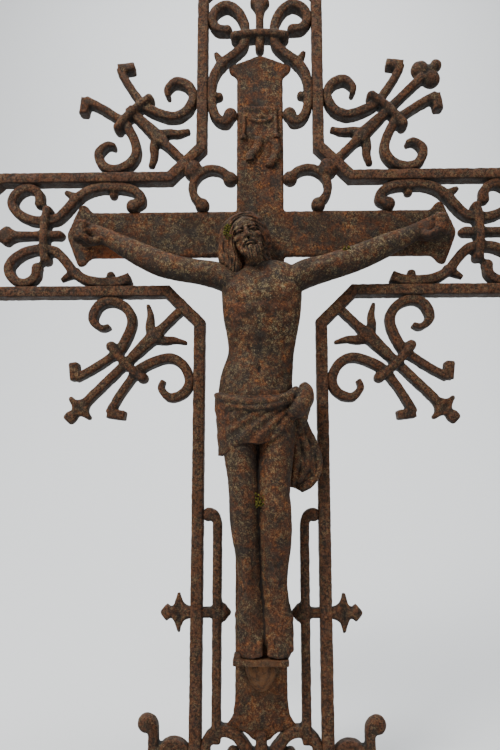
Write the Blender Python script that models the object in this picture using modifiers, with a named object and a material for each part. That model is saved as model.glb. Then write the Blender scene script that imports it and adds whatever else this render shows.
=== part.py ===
"""Iron grave cross: an openwork frame of rails and scrolls round a flat cross board,
and the figure, cast apart, that is fixed to the board's face.

Metres, +Z up, the front faces -Y. The origin is on the ground, under the middle of the shaft.
Flat work is drawn in the plane of the cross, as (x, z) pairs measured from the crossing.
"""

import math

import bmesh
import bpy
import numpy as np
from mathutils import Matrix

# The frame of rails
CROSSING_HEIGHT = 0.675   # ground to the crossing of the centre lines
ARM_REACH = 0.375         # crossing to the centre line of an end bar
RAIL_HALF = 0.0775        # centre line of the cross to the centre line of a rail
RAIL_WIDTH = 0.0125
RAIL_DEPTH = 0.0240
INNER_CHAMFER = 0.042     # how far the bevelled inner corner runs along each rail
END_CHAMFER = 0.030

# The foot that stands on the ground
FOOT_HALF = 0.142
FOOT_HEIGHT = 0.018
FOOT_DEPTH = 0.030

# The flat cross board
BOARD_WIDTH = 0.062
BOARD_THICKNESS = 0.0075
BOARD_REACH = 0.254       # crossing to the tip of an arm
BOARD_TIP = 0.057         # ground to the lower tip
HEAD_HALF = 0.0425        # half the width across the ears of a board end
HEAD_LENGTH = 0.018       # tip to ears
HEAD_NECK = 0.036         # tip to where the ears start

# Bars of the scrollwork
SCROLL_WIDTH = 0.0108
SCROLL_DEPTH = 0.0205
STEM_WIDTH = 0.0095
LEAF_DEPTH = 0.0150
COLLAR_WIDTH = 0.009
COLLAR_DEPTH = 0.0290
BITE = 0.0012             # how far a touching bar runs into the other

# Corner sprays, measured outwards along the diagonal from the crossing of two rails
SPRAY_NODE = 0.078
SPRAY_COLLAR = 0.131
SPRAY_COLLAR_HALF = 0.030
SPRAY_BUD = 0.200
SPRAY_RUN = 0.1146        # curl centre, measured along the rail
SPRAY_CURL = 0.0265       # radius of the curl's centre line
SPRAY_PAIR = 0.0185       # stem to the scroll beside it, at the collar

# Small C scrolls in the two upper corners
CORNER_CENTRE = 0.063
CORNER_RADIUS = 0.026
CORNER_SWEEP = 107.0
CORNER_BOSS = 0.0895
CORNER_BOSS_RADIUS = 0.0125

# Lyre ornament in an arm's end, measured outwards from the crossing
LYRE_COLLAR = 0.281
LYRE_COLLAR_HALF = 0.0345
LYRE_PAIR = 0.0195
LYRE_RUN = 0.087          # collar back to the bead
LYRE_BEAD = LYRE_COLLAR - LYRE_RUN
LYRE_BEAD_RADIUS = 0.0062
LYRE_STALK = 0.037        # collar out to the stem's bud
LYRE_BUD = LYRE_COLLAR + LYRE_STALK

# Lower shaft
INNER_RAIL = 0.053
INNER_RAIL_WIDTH = 0.0095
INNER_RAIL_TOP = 0.352    # below the crossing
TIE_DROP = 0.4745         # below the crossing
TIE_HEIGHT = 0.011
TIE_INNER = 0.036

# Foot scrolls
ARCH_CENTRE = 0.0435
ARCH_RADIUS = 0.0225
SIDE_CURL_RADIUS = 0.0150
HOOK_X = 0.1265
HOOK_HEIGHT = 0.087       # ground to the top of a hook

# Title scroll and footrest on the board
TITLE_DROP = 0.094        # crossing to its lower edge, upwards
TITLE_HEIGHT = 0.084
TITLE_HALF = 0.0245
TITLE_RELIEF = 0.0055
LEDGE_THICKNESS = 0.0085
LEDGE_DEPTH = 0.040
CONSOLE_HEIGHT = 0.037
CONSOLE_HALF = 0.027

# The figure
FIGURE_HEIGHT = 0.530
FIGURE_PARTS = 535        # the stations below count in this many parts of its height
SOLE_PARTS = 523          # crossing to the soles, downwards
CLEARANCE = 0.0003
FIGURE_VOXEL = 0.0024
FIGURE_TRIANGLES = 2700

IRON = (0.085, 0.048, 0.032)
FIGURE_IRON = (0.098, 0.058, 0.038)

BOARD_FACE = -BOARD_THICKNESS / 2
BOARD_DROP = CROSSING_HEIGHT - BOARD_TIP
HOOK_TOP = CROSSING_HEIGHT - HOOK_HEIGHT
PART = FIGURE_HEIGHT / FIGURE_PARTS
LEDGE_TOP = CROSSING_HEIGHT - SOLE_PARTS * PART - CLEARANCE
FOOT_TOP = -CROSSING_HEIGHT + FOOT_HEIGHT
CURVE_STEPS = 2
FLAT = math.radians(0.4)


# Points and outlines

def smooth(points, steps=CURVE_STEPS):
    """Points on the Catmull-Rom curve through the given points, `steps` to each stretch."""
    rows = np.asarray(points, float)
    ends = np.vstack([2 * rows[0] - rows[1], rows, 2 * rows[-1] - rows[-2]])
    t = (np.arange(steps) / steps)[:, None]
    out = []
    for a, b, c, d in zip(ends, ends[1:], ends[2:], ends[3:]):
        out.append(0.5 * (2 * b + (c - a) * t + (2 * a - 5 * b + 4 * c - d) * t**2
                          + (3 * b - a - 3 * c + d) * t**3))
    return np.vstack(out + [rows[-1:]])


def polar(centre, radius, degrees):
    angle = math.radians(degrees)
    return (centre[0] + radius * math.cos(angle), centre[1] + radius * math.sin(angle))


def arc(centre, radius, start, end, count):
    return [polar(centre, radius, start + (end - start) * i / (count - 1)) for i in range(count)]


def offset(points, distance):
    """A closed outline moved to its left by a distance, with mitred corners."""
    p = np.asarray(points, float)
    before = p - np.roll(p, 1, axis=0)
    after = np.roll(p, -1, axis=0) - p
    n0 = np.column_stack([-before[:, 1], before[:, 0]]) / np.linalg.norm(before, axis=1)[:, None]
    n1 = np.column_stack([-after[:, 1], after[:, 0]]) / np.linalg.norm(after, axis=1)[:, None]
    mitre = n0 + n1
    return p + distance * 2 * mitre / (mitre**2).sum(axis=1)[:, None]


def stroke(path, width, tip=1.0, root=1.0):
    """The outline of a bar drawn along a path; `tip` and `root` are the widths left at its ends."""
    p = np.asarray(path, float)
    legs = np.diff(p, axis=0)
    legs /= np.linalg.norm(legs, axis=1)[:, None]
    along = np.vstack([2 * legs[:1], legs[:-1] + legs[1:], 2 * legs[-1:]])
    mitre = 2 / np.linalg.norm(along, axis=1)[:, None]
    side = np.column_stack([-along[:, 1], along[:, 0]]) * mitre / 2
    share = np.linspace(0, 1, len(p))[:, None]
    swell = (1 + (tip - 1) * share**2) * (1 + (root - 1) * np.clip(1 - share / 0.35, 0, 1))
    half = width / 2 * mitre * swell
    return np.vstack([p + side * half, (p - side * half)[::-1]])


def disc(centre, radius, sides=6):
    return [polar(centre, radius, 360 * (i + 0.5) / sides) for i in range(sides)]


# Turning a motif drawn once into its places

def turned(quarter):
    """Carries (outwards, across) pairs to an arm: 0 right, 1 top, 2 left, 3 bottom."""
    angle = math.pi / 2 * quarter
    c, s = round(math.cos(angle)), round(math.sin(angle))
    return lambda p: np.column_stack([c * p[:, 0] - s * p[:, 1], s * p[:, 0] + c * p[:, 1]])


def diagonal(side, level):
    """Carries (outwards, across) pairs to a corner of the rails, along its diagonal."""
    half = math.sqrt(0.5)

    def place(p):
        along = RAIL_HALF + (p[:, 0] + p[:, 1]) * half
        up = RAIL_HALF + (p[:, 0] - p[:, 1]) * half
        return np.column_stack([side * along, level * up])
    return place


def mirrored(points):
    return np.asarray(points, float) * (1, -1)


def stay(points):
    return np.asarray(points, float)


# Solids

def place_mesh(name, mesh):
    obj = bpy.data.objects.new(name, mesh)
    bpy.context.scene.collection.objects.link(obj)
    return obj


def plate(name, outline, depth, out=0.0):
    """A flat piece with the given outline and depth, centred on the plane of the cross or moved out of it."""
    bm = bmesh.new()
    face = bm.faces.new([bm.verts.new((x, -depth / 2 - out, CROSSING_HEIGHT + z)) for x, z in outline])
    grown = bmesh.ops.extrude_face_region(bm, geom=[face])
    moved = [v for v in grown["geom"] if isinstance(v, bmesh.types.BMVert)]
    bmesh.ops.translate(bm, vec=(0, depth, 0), verts=moved)
    bmesh.ops.recalc_face_normals(bm, faces=bm.faces)
    mesh = bpy.data.meshes.new(name)
    bm.to_mesh(mesh)
    bm.free()
    return place_mesh(name, mesh)


def solidified(name, source):
    """The evaluated shape of an object as one welded mesh, flat areas in one face each."""
    bpy.context.view_layer.update()
    evaluated = source.evaluated_get(bpy.context.evaluated_depsgraph_get())
    mesh = bpy.data.meshes.new_from_object(evaluated)
    bm = bmesh.new()
    bm.from_mesh(mesh)
    bmesh.ops.remove_doubles(bm, verts=bm.verts, dist=0.00001)
    bmesh.ops.dissolve_limit(bm, angle_limit=FLAT, verts=bm.verts, edges=bm.edges)
    bmesh.ops.recalc_face_normals(bm, faces=bm.faces)
    bm.to_mesh(mesh)
    bm.free()
    return place_mesh(name, mesh)


def loft(name, rings):
    """A closed body through rings of equally many points, in world space."""
    rings = np.asarray(rings, float)
    count, sides = rings.shape[:2]
    faces = [[j + i * sides, (j + 1) % sides + i * sides,
              (j + 1) % sides + (i + 1) * sides, j + (i + 1) * sides]
             for i in range(count - 1) for j in range(sides)]
    faces += [list(range(sides)), list(range((count - 1) * sides, count * sides))]
    mesh = bpy.data.meshes.new(name)
    mesh.from_pydata(rings.reshape(-1, 3).tolist(), [], faces)
    bm = bmesh.new()
    bm.from_mesh(mesh)
    bmesh.ops.recalc_face_normals(bm, faces=bm.faces)
    bm.to_mesh(mesh)
    bm.free()
    return place_mesh(name, mesh)


def block(name, low, high):
    bpy.ops.mesh.primitive_cube_add(size=1)
    obj = bpy.context.object
    obj.name = name
    middle = [(a + b) / 2 for a, b in zip(low, high)]
    size = [b - a for a, b in zip(low, high)]
    obj.data.transform(Matrix.Translation(middle) @ Matrix.Diagonal((*size, 1)))
    return obj


def fused(name, solids):
    """The exact union of overlapping solids."""
    for solid in solids[1:]:
        union = solids[0].modifiers.new("union", "BOOLEAN")
        union.operation = "UNION"
        union.solver = "EXACT"
        union.object = solid
    result = solidified(name, solids[0])
    for solid in solids:
        bpy.data.objects.remove(solid)
    return result


def cut(name, solid, cutters):
    for cutter in cutters:
        difference = solid.modifiers.new("cut", "BOOLEAN")
        difference.operation = "DIFFERENCE"
        difference.solver = "EXACT"
        difference.object = cutter
    result = solidified(name, solid)
    for obj in (solid, *cutters):
        bpy.data.objects.remove(obj)
    return result


# Frame, board and foot

def frame_rails():
    h, c, r, e = RAIL_HALF, INNER_CHAMFER, ARM_REACH, END_CHAMFER
    quarter = np.array([(h + c, -h), (r - e, -h), (r, -h + e), (r, h - e), (r - e, h), (h + c, h)])
    upper = [turned(q)(quarter) for q in (0, 1, 2)]
    bottom = FOOT_TOP - FOOT_HEIGHT / 2
    shaft = [(-h, -h - c), (-h, bottom), (h, bottom), (h, -h - c)]
    line = np.vstack(upper + [shaft])
    outer = plate("rails", offset(line, -RAIL_WIDTH / 2), RAIL_DEPTH)
    return cut("rails", outer, [plate("opening", offset(line, RAIL_WIDTH / 2), 2 * RAIL_DEPTH)])


def board():
    w, ear = BOARD_WIDTH / 2, HEAD_HALF

    def end(reach):
        return np.array([(reach - HEAD_NECK, -w), (reach - HEAD_LENGTH - 0.004, -w - 0.002),
                         (reach - HEAD_LENGTH, -ear), (reach, 0), (reach - HEAD_LENGTH, ear),
                         (reach - HEAD_LENGTH - 0.004, w + 0.002), (reach - HEAD_NECK, w)])
    ends = [turned(q)(end(BOARD_DROP if q == 3 else BOARD_REACH)) for q in range(4)]
    corners = [(w, w), (-w, w), (-w, -w), (w, -w)]
    outline = []
    for points, corner in zip(ends, corners):
        outline += [*points, corner]
    return plate("board", outline, BOARD_THICKNESS)


def foot():
    return block("foot", (-FOOT_HALF, -FOOT_DEPTH / 2, 0), (FOOT_HALF, FOOT_DEPTH / 2, FOOT_HEIGHT))


# Motifs, drawn as (outline, depth) pairs in their own (outwards, across) frame

def bud(start):
    """A bud with two side lobes and a pointed knob."""
    half = [(0, 4.5), (5, 8), (9, 12), (10, 20.5), (15, 18), (18, 9), (21, 5), (28, 8), (36, 1)]
    side = np.array(half) / 1000
    side[:, 0] += start
    return [(np.vstack([mirrored(side), side[::-1]]), SCROLL_DEPTH)]


def spray_scroll():
    """One of a spray's two S scrolls: a curl that touches the rail, a run past the collar, a hook."""
    half = math.sqrt(0.5)
    from_rail = RAIL_WIDTH / 2 + SPRAY_CURL + SCROLL_WIDTH / 2 - BITE
    centre = ((SPRAY_RUN + from_rail) * half, (SPRAY_RUN - from_rail) * half)
    curl = [(-40, 0.27), (5, 0.58), (50, 0.90), (95, 0.99), (135, 1.0), (185, 1.0), (232, 1.08)]
    path = [polar(centre, SPRAY_CURL * share, angle) for angle, share in curl]
    run = [(SPRAY_COLLAR - 0.008, SPRAY_PAIR), (SPRAY_COLLAR + 0.016, SPRAY_PAIR + 0.002),
           (SPRAY_COLLAR + 0.040, SPRAY_PAIR + 0.007), (SPRAY_COLLAR + 0.061, SPRAY_PAIR + 0.013)]
    hook = (run[-1][0] - 0.014, run[-1][1] + 0.017)
    leg = [(run[-1][0] - 0.001, run[-1][1] + 0.0005), (hook[0] - 0.0015, hook[1] + 0.0016)]
    return [(stroke(np.vstack([smooth(path + run), hook]), SCROLL_WIDTH, root=0.45), SCROLL_DEPTH),
            (stroke(leg, SCROLL_WIDTH * 1.25), SCROLL_DEPTH - BITE)]


def spray(broken):
    """A corner spray: a stem that flares to two barbs, collar, two scrolls and a bud."""
    end = SPRAY_COLLAR + 0.007 if broken else SPRAY_BUD + 0.004
    start = INNER_CHAMFER * math.sqrt(0.5)
    w = STEM_WIDTH / 2
    flare = [(SPRAY_NODE - 0.010, w), (SPRAY_NODE + 0.002, 0.0112), (SPRAY_NODE + 0.016, 0.0090),
             (SPRAY_COLLAR - 0.012, w + 0.0008)]
    stem = np.vstack([[(start, -w)], mirrored(flare), [(end, -w), (end + (0.005 if broken else 0), w * 0.3)],
                      [(end - 0.001, w)], flare[::-1], [(start, w)]])
    barb = [(SPRAY_NODE + 0.008, 0.001), (SPRAY_NODE - 0.001, 0.0135), (SPRAY_NODE - 0.0105, 0.0225),
            (SPRAY_NODE - 0.019, 0.0365)]
    c, ch = COLLAR_WIDTH / 2, SPRAY_COLLAR_HALF
    collar = [(SPRAY_COLLAR - c, -ch), (SPRAY_COLLAR + c, -ch),
              (SPRAY_COLLAR + c, ch), (SPRAY_COLLAR - c, ch)]
    parts = [(stem, SCROLL_DEPTH), (collar, COLLAR_DEPTH)]
    for side in (stay, mirrored):
        parts.append((side(stroke(barb, 0.0125, 0.40)), LEAF_DEPTH))
        parts += [(side(outline), depth) for outline, depth in spray_scroll()]
    if not broken:
        parts += bud(SPRAY_BUD)
    return parts


def corner_scroll():
    """The small C scroll in an upper corner, drawn in place for the right-hand side."""
    centre = (CORNER_CENTRE, CORNER_CENTRE)
    path = arc(centre, CORNER_RADIUS, 45 - CORNER_SWEEP, 45 + CORNER_SWEEP, 15)
    ball = SCROLL_WIDTH * 0.78
    edge = BOARD_WIDTH / 2 + ball - BITE
    low = (CORNER_CENTRE + 0.013, edge)
    return [(stroke([low] + path[1:-1] + [low[::-1]], SCROLL_WIDTH), SCROLL_DEPTH),
            (disc(low, ball), SCROLL_DEPTH), (disc(low[::-1], ball), SCROLL_DEPTH),
            (disc((CORNER_BOSS, CORNER_BOSS), CORNER_BOSS_RADIUS, 10), RAIL_DEPTH + 0.001)]


def lyre(full):
    """One half of an arm's end ornament; the lower ones end in a short leaf instead of a curl."""
    touch = RAIL_HALF - RAIL_WIDTH / 2 - SCROLL_WIDTH / 2 + BITE
    path = [(LYRE_COLLAR, LYRE_PAIR), (LYRE_COLLAR - 0.014, LYRE_PAIR + 0.003),
            (LYRE_COLLAR - 0.027, touch * 0.54), (LYRE_COLLAR - 0.039, touch * 0.77),
            (LYRE_COLLAR - 0.057, touch * 0.945), (LYRE_BEAD + 0.006, touch)]
    ball = SCROLL_WIDTH * 0.78
    rest = BOARD_WIDTH / 2 + ball - BITE
    if full:
        path += [(LYRE_BEAD - 0.020, touch * 0.965), (LYRE_BEAD - 0.035, touch * 0.84),
                 (LYRE_BEAD - 0.0375, touch * 0.68), (LYRE_BEAD - 0.027, rest)]
    else:
        path += [(LYRE_BEAD - 0.012, touch * 0.98), (LYRE_BEAD - 0.026, touch * 0.93)]
    out = [(LYRE_COLLAR, LYRE_PAIR), (LYRE_COLLAR + 0.018, LYRE_PAIR + 0.001),
           (LYRE_COLLAR + 0.037, LYRE_PAIR + 0.010), (LYRE_COLLAR + 0.047, touch * 0.68),
           (LYRE_COLLAR + 0.040, touch * 0.91), (LYRE_COLLAR + 0.025, touch),
           (LYRE_COLLAR + 0.012, touch * 0.88), (LYRE_COLLAR + 0.010, touch * 0.68)]
    spur = [(LYRE_COLLAR - 0.045, touch * 0.77), (LYRE_COLLAR - 0.033, touch * 0.83),
            (LYRE_COLLAR - 0.022, touch * 0.93)]
    parts = [(stroke(smooth(path, 2), SCROLL_WIDTH, 1.0 if full else 0.5), SCROLL_DEPTH),
             (stroke(smooth(out, 2), SCROLL_WIDTH, 0.8), SCROLL_DEPTH),
             (disc((LYRE_BEAD, touch - SCROLL_WIDTH * 0.70), LYRE_BEAD_RADIUS), LEAF_DEPTH),
             (stroke(spur, SCROLL_WIDTH * 1.1, 0.40), LEAF_DEPTH)]
    if full:
        parts.append((disc((LYRE_BEAD - 0.027, rest), ball), SCROLL_DEPTH))
    return parts


def arm_end(quarter):
    """An arm's end: collar, middle stem with its bud, two lyre halves and the finial outside."""
    c, ch, w = COLLAR_WIDTH / 2, LYRE_COLLAR_HALF, STEM_WIDTH / 2
    collar = [(LYRE_COLLAR - c, -ch), (LYRE_COLLAR + c, -ch), (LYRE_COLLAR + c, ch), (LYRE_COLLAR - c, ch)]
    tip = LYRE_COLLAR - 0.025
    bar = ARM_REACH - RAIL_WIDTH / 2
    half = [(tip + 0.006, w), (LYRE_BUD, w), (LYRE_BUD + 0.014, 0.013), (LYRE_BUD + 0.024, 0.010),
            (bar + BITE, 0.002)]
    stem = np.vstack([[(tip, 0)], mirrored(half), half[::-1]])
    parts = [(collar, COLLAR_DEPTH), (stem, SCROLL_DEPTH)]
    parts += bud(ARM_REACH + RAIL_WIDTH / 2 - BITE)
    for side in (stay, mirrored):
        lower = (quarter == 0 and side is mirrored) or (quarter == 2 and side is stay)
        parts += [(side(outline), depth) for outline, depth in lyre(not lower)]
    return parts


def shaft_side():
    """The right-hand half of the lower shaft and foot, drawn in place."""
    x = INNER_RAIL
    touch = RAIL_HALF - RAIL_WIDTH / 2
    rail = [(x, FOOT_TOP + 0.036), (x, -INNER_RAIL_TOP - 0.024)]
    hook = [(x + 0.0015, -INNER_RAIL_TOP - 0.012), (x + 0.006, -INNER_RAIL_TOP - 0.0055),
            (touch - 0.004, -INNER_RAIL_TOP - 0.0035)]
    ball = (touch - 0.0055, -INNER_RAIL_TOP - 0.0045)
    z, t = -TIE_DROP, TIE_HEIGHT / 2
    start = RAIL_HALF + RAIL_WIDTH / 2 + 0.001
    cap = [(TIE_INNER, z), (TIE_INNER + 0.009, z - 0.011), (x, z - 0.006), (x, z + 0.006),
           (TIE_INNER + 0.009, z + 0.011)]
    rod = [(x, z - t), (start + 0.004, z - t), (start + 0.004, z + t), (x, z + t)]
    arch = (ARCH_CENTRE, FOOT_TOP + ARCH_RADIUS + SCROLL_WIDTH / 2 - BITE)
    ring = [polar(arch, ARCH_RADIUS * share, angle) for angle, share in
            ((-205, 0.40), (-168, 0.58), (-130, 0.84))]
    ring += arc(arch, ARCH_RADIUS, -90, 150, 10)
    ring += [(0.0125, FOOT_TOP + 0.022), (0.0105, FOOT_TOP - 0.004)]
    gap = HOOK_X - STEM_WIDTH / 2 - RAIL_HALF - RAIL_WIDTH / 2
    middle = (RAIL_HALF + RAIL_WIDTH / 2 + gap / 2, FOOT_TOP + SIDE_CURL_RADIUS + SCROLL_WIDTH / 2 - BITE)
    side = [(HOOK_X, FOOT_TOP - 0.004), (HOOK_X, -HOOK_TOP - 0.018), (HOOK_X + 0.0025, -HOOK_TOP - 0.008),
            (HOOK_X + 0.009, -HOOK_TOP - 0.005), (HOOK_X + 0.0135, -HOOK_TOP - 0.014)]
    parts = [(stroke(rail + hook, INNER_RAIL_WIDTH), SCROLL_DEPTH),
             (disc(ball, 0.0075), SCROLL_DEPTH), (cap, SCROLL_DEPTH), (rod, SCROLL_DEPTH),
             (stroke(ring, SCROLL_WIDTH), SCROLL_DEPTH),
             (stroke(arc(middle, SIDE_CURL_RADIUS, -90, 205, 9), SCROLL_WIDTH), SCROLL_DEPTH),
             (stroke(side, STEM_WIDTH), SCROLL_DEPTH), (disc(side[-1], 0.0088), SCROLL_DEPTH)]
    lobes = [(outline + (0, z), depth) for outline, depth in bud(start)]
    return parts + lobes


def openwork_cross():
    solids = [frame_rails(), board(), foot()]

    def add(parts, place):
        for outline, depth in parts:
            solids.append(plate("bar", place(np.asarray(outline, float)), depth))
    for side in (1, -1):
        for level in (1, -1):
            add(spray(broken=(side, level) == (-1, 1)), diagonal(side, level))
        add(corner_scroll(), lambda p, s=side: p * (s, 1))
        add(shaft_side(), lambda p, s=side: p * (s, 1))
    for quarter in (0, 1, 2):
        add(arm_end(quarter), turned(quarter))
    w = STEM_WIDTH / 2 + 0.001
    low, high = FOOT_TOP - 0.004, -BOARD_DROP + 0.012
    add([([(-w, low), (w, low), (w, high), (-w, high)], SCROLL_DEPTH)], stay)
    solids += [title_scroll(), ledge(), console()]
    return fused("openwork_cross", solids)


# Relief on the board

def title_scroll():
    """The scroll above the head: a raised sheet, rolled at its top and curled at its lower ends."""
    low = TITLE_DROP
    top = low + TITLE_HEIGHT
    h = TITLE_HALF
    shape = [(-1, 0.357), (-0.75, 0.095), (-0.40, 0.12), (-0.10, 0.285), (0.10, 0.024), (0.70, -0.071),
             (1, 0.143), (1, 1)]
    outline = [(-h, top)] + [(h * across, low + TITLE_HEIGHT * up) for across, up in shape]
    depth = BOARD_THICKNESS / 2 + TITLE_RELIEF
    return plate("title", outline, depth, depth / 2)


def ledge():
    half = BOARD_WIDTH / 2 + 0.001
    front, under = BOARD_FACE - LEDGE_DEPTH, LEDGE_TOP - LEDGE_THICKNESS
    return block("ledge", (-half, front, under), (half, 0, LEDGE_TOP))


def console():
    """The rounded bracket under the ledge, flat against the board."""
    top = LEDGE_TOP - LEDGE_THICKNESS / 2
    rings = []
    for share, size in ((0, 1.0), (0.3, 0.95), (0.55, 0.80), (0.78, 0.58), (0.93, 0.34), (1.0, 0.10)):
        turn = np.linspace(0, math.pi, 9)
        half = CONSOLE_HALF * size
        x = np.append(half * np.cos(turn), (-half, half))
        y = np.append(BOARD_FACE - (LEDGE_DEPTH - 0.006) * size * np.sin(turn), (0.0, 0.0))
        rings.append(np.column_stack([x, y, np.full(len(x), top - CONSOLE_HEIGHT * share)]))
    return loft("console", rings)


# The figure. A station is (across, out from the board, up from the crossing, half width, half depth),
# in parts of the figure's height; a limb runs through its stations.

TORSO = [(-2, 22, -52, 26, 14), (0, 24, -62, 44, 20), (2, 27, -78, 50, 26), (2, 30, -98, 50, 30),
         (2, 29, -120, 48, 29), (2, 26, -142, 44, 26), (1, 23, -162, 41, 22), (-1, 23, -180, 42, 23),
         (-5, 25, -202, 45, 26), (-6, 27, -230, 46, 27), (-5, 27, -262, 43, 26)]
LEG_LEFT = [(-26, 27, -232, 22, 24), (-25, 31, -262, 22, 24), (-24, 37, -289, 20, 22),
            (-21, 43, -318, 18, 19), (-19.5, 46, -343, 18, 18), (-19.5, 41, -365, 17.5, 17.5),
            (-17.5, 35, -388, 16, 17), (-15, 29, -408, 15, 15), (-13.5, 25, -430, 14.5, 13),
            (-13, 24, -450, 15, 13), (-12.5, 25, -466, 16.5, 13), (-12.5, 28, -483, 18, 12),
            (-12, 30, -500, 18.5, 10), (-11, 32, -515, 17.5, 8), (-10, 32, -527, 15.5, 6)]
LEG_RIGHT = [(22, 27, -232, 22, 24), (20, 31, -265, 23, 25), (18, 37, -300, 20.5, 22),
             (16, 43, -334, 19, 19), (17, 45, -353, 19.5, 18), (18, 41, -378, 19.5, 18),
             (17.5, 35, -398, 18.5, 17), (16.5, 29, -420, 17, 15), (16, 25, -441, 16, 14),
             (17.5, 24, -458, 16.5, 13), (19.5, 27, -480, 18, 12), (21, 30, -500, 18.5, 10),
             (22, 32, -515, 17, 8), (22.5, 32, -527, 15, 6)]
ARM_LEFT = [(-34, 26, -74, 15, 18), (-56, 25, -63, 15.5, 16), (-80, 24, -58.5, 13.5, 14),
            (-104, 23, -54, 13.5, 13.5), (-128, 22, -46.5, 13, 13), (-148, 20, -36, 12, 12),
            (-168, 17, -25, 12, 11), (-188, 13, -13, 10, 9), (-202, 11, -6, 8.5, 8),
            (-213, 10, -4.5, 12, 8), (-224, 11, -3.5, 16.5, 8), (-234, 11, -3, 16.5, 7)]
ARM_RIGHT = [(38, 26, -74, 16, 18), (58, 25, -62, 18, 17), (84, 24, -54, 16, 15), (108, 23, -46, 15.5, 14),
             (130, 22, -38, 14.5, 13), (150, 20, -29, 13, 12), (170, 17, -19, 12, 11), (188, 13, -10, 10, 9),
             (200, 11, -4, 9, 8), (211, 10, -2, 13, 8), (222, 11, 0, 17, 8), (233, 11, 2, 17, 7)]
HEAD = [(-2, 25, -68, 15, 14), (-5, 26, -56, 13.5, 13), (-8, 34, -49, 13, 19), (-11, 38, -40, 19, 25),
        (-15, 37, -27, 23.5, 28), (-18.5, 35, -13, 25, 29), (-21.5, 33, -1, 22, 25), (-23.5, 31, 7, 14, 16),
        (-24, 30, 11, 5, 6)]
HAIR_LEFT = [(-28, 27, 3, 10, 18), (-39, 26, -10, 11, 22), (-42.5, 26, -27, 10.5, 20),
             (-39.5, 27, -43, 11, 17), (-35, 30, -58, 9, 12), (-32, 31, -69, 5, 7)]
HAIR_RIGHT = [(-10, 27, 3, 10, 17), (1, 26, -10, 9.5, 21), (4.5, 25, -27, 8, 18), (3, 25, -42, 6.5, 14),
              (5, 27, -54, 4, 7)]
NOSE = [(-18, 61, -12, 2.5, 2.5), (-15.5, 66, -22, 3.5, 4), (-14, 68, -28, 4.5, 4)]
BEARD = [(-12, 56, -36, 11, 7), (-9.5, 54, -44, 10, 8), (-7.5, 50, -51, 6, 6)]
CHEST_LEFT = [(-34, 46, -84, 9, 8), (-20, 50, -92, 14, 10), (-6, 50, -94, 10, 8)]
CHEST_RIGHT = [(38, 46, -82, 9, 8), (24, 50, -91, 14, 10), (10, 50, -94, 10, 8)]
KNOT = [(36, 45, -236, 9, 8), (46, 42, -226, 12, 13), (51, 34, -217, 9, 12)]
KNOT_TAIL = [(46, 40, -232, 10, 11), (51, 34, -243, 9, 11), (48, 28, -256, 8, 9)]
HANGING_END = [(44, 22, -244, 9, 8), (49, 18, -264, 12, 9), (54, 15, -288, 15, 9), (54.5, 14, -306, 15, 9),
               (48, 13, -326, 13, 7), (45, 13, -332, 8, 5)]
WAIST_ROLL = [(-50, 32, -220, 6, 7), (-36, 50, -226, 6, 6), (-8, 57, -230, 6, 5), (20, 53, -226, 6, 5),
              (40, 42, -218, 6, 6)]
CLOTH = [(-7, 26, -216, 47, 28), (-7, 27, -226, 50, 31), (-5, 28, -240, 50, 33), (-4, 29, -254, 49.5, 34),
         (-4, 30, -268, 48, 34), (-5, 30, -278, 45, 31)]
CLOTH_SLANT = 0.26        # rise of the lower hem towards the knot
FOLD_HUB = (52, -222)     # the folds fan out from the knot
FOLD_ANGLE = 6.5          # degrees from one fold to the next
FOLD_HEIGHT = 2.4
FINGER_RISE = (11, 4, -4, -11)
FINGER = [(-6, 9, 4.2), (3, 13, 4.2), (8, 20, 4.0), (5, 27, 3.8), (-4, 27, 3.4)]   # along, out, radius


def world(points):
    """Figure parts (across, out, up) in metres."""
    p = np.asarray(points, float) * PART
    return np.stack([p[..., 0], BOARD_FACE - p[..., 1], CROSSING_HEIGHT + p[..., 2]], axis=-1)


def limb(name, stations, sides=14, steps=2):
    """A tapering body of elliptical sections square to the line through its stations."""
    rows = smooth(stations, steps)
    middle = rows[:, :3]
    along = np.gradient(middle, axis=0)
    along /= np.linalg.norm(along, axis=1)[:, None]
    across = np.cross(along, (0, 1, 0))
    across /= np.linalg.norm(across, axis=1)[:, None]
    out = np.cross(across, along)
    turn = np.linspace(0, 2 * math.pi, sides, endpoint=False)[None, :, None]
    rings = (middle[:, None] + across[:, None] * rows[:, None, 3:4] * np.cos(turn)
             + out[:, None] * rows[:, None, 4:5] * np.sin(turn))
    return loft(name, world(rings))


def fold(across, up):
    """Height of the loincloth's folds: waves of the angle seen from the knot."""
    angle = np.degrees(np.arctan2(up - FOLD_HUB[1], FOLD_HUB[0] - across))
    far = np.clip(np.hypot(up - FOLD_HUB[1], across - FOLD_HUB[0]) / 50, 0.3, 1)
    return FOLD_HEIGHT * far * np.cos(2 * math.pi * angle / FOLD_ANGLE)


def loincloth():
    rows = smooth(CLOTH, 4)
    turn = np.linspace(0, 2 * math.pi, 72, endpoint=False)[None, :]
    down = np.linspace(0, 1, len(rows))[:, None]
    side = np.cos(turn)
    across = rows[:, 0:1] + rows[:, 3:4] * side
    up = rows[:, 2:3] + CLOTH_SLANT * down * across - 7 * (1 - down) * (1 - side**2)
    wave = 1 + fold(across, up) / 40
    return loft("loincloth", world(np.stack([rows[:, 0:1] + rows[:, 3:4] * side * wave,
                                             rows[:, 1:2] + rows[:, 4:5] * np.sin(turn) * wave, up], axis=-1)))


def fingers(wrist_side, palm, rise):
    """Four curled fingers at the end of a palm."""
    return [limb("finger", [(wrist_side * (palm + along), out, rise + lift, radius, radius)
                            for along, out, radius in FINGER], sides=7)
            for lift in FINGER_RISE]


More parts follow.
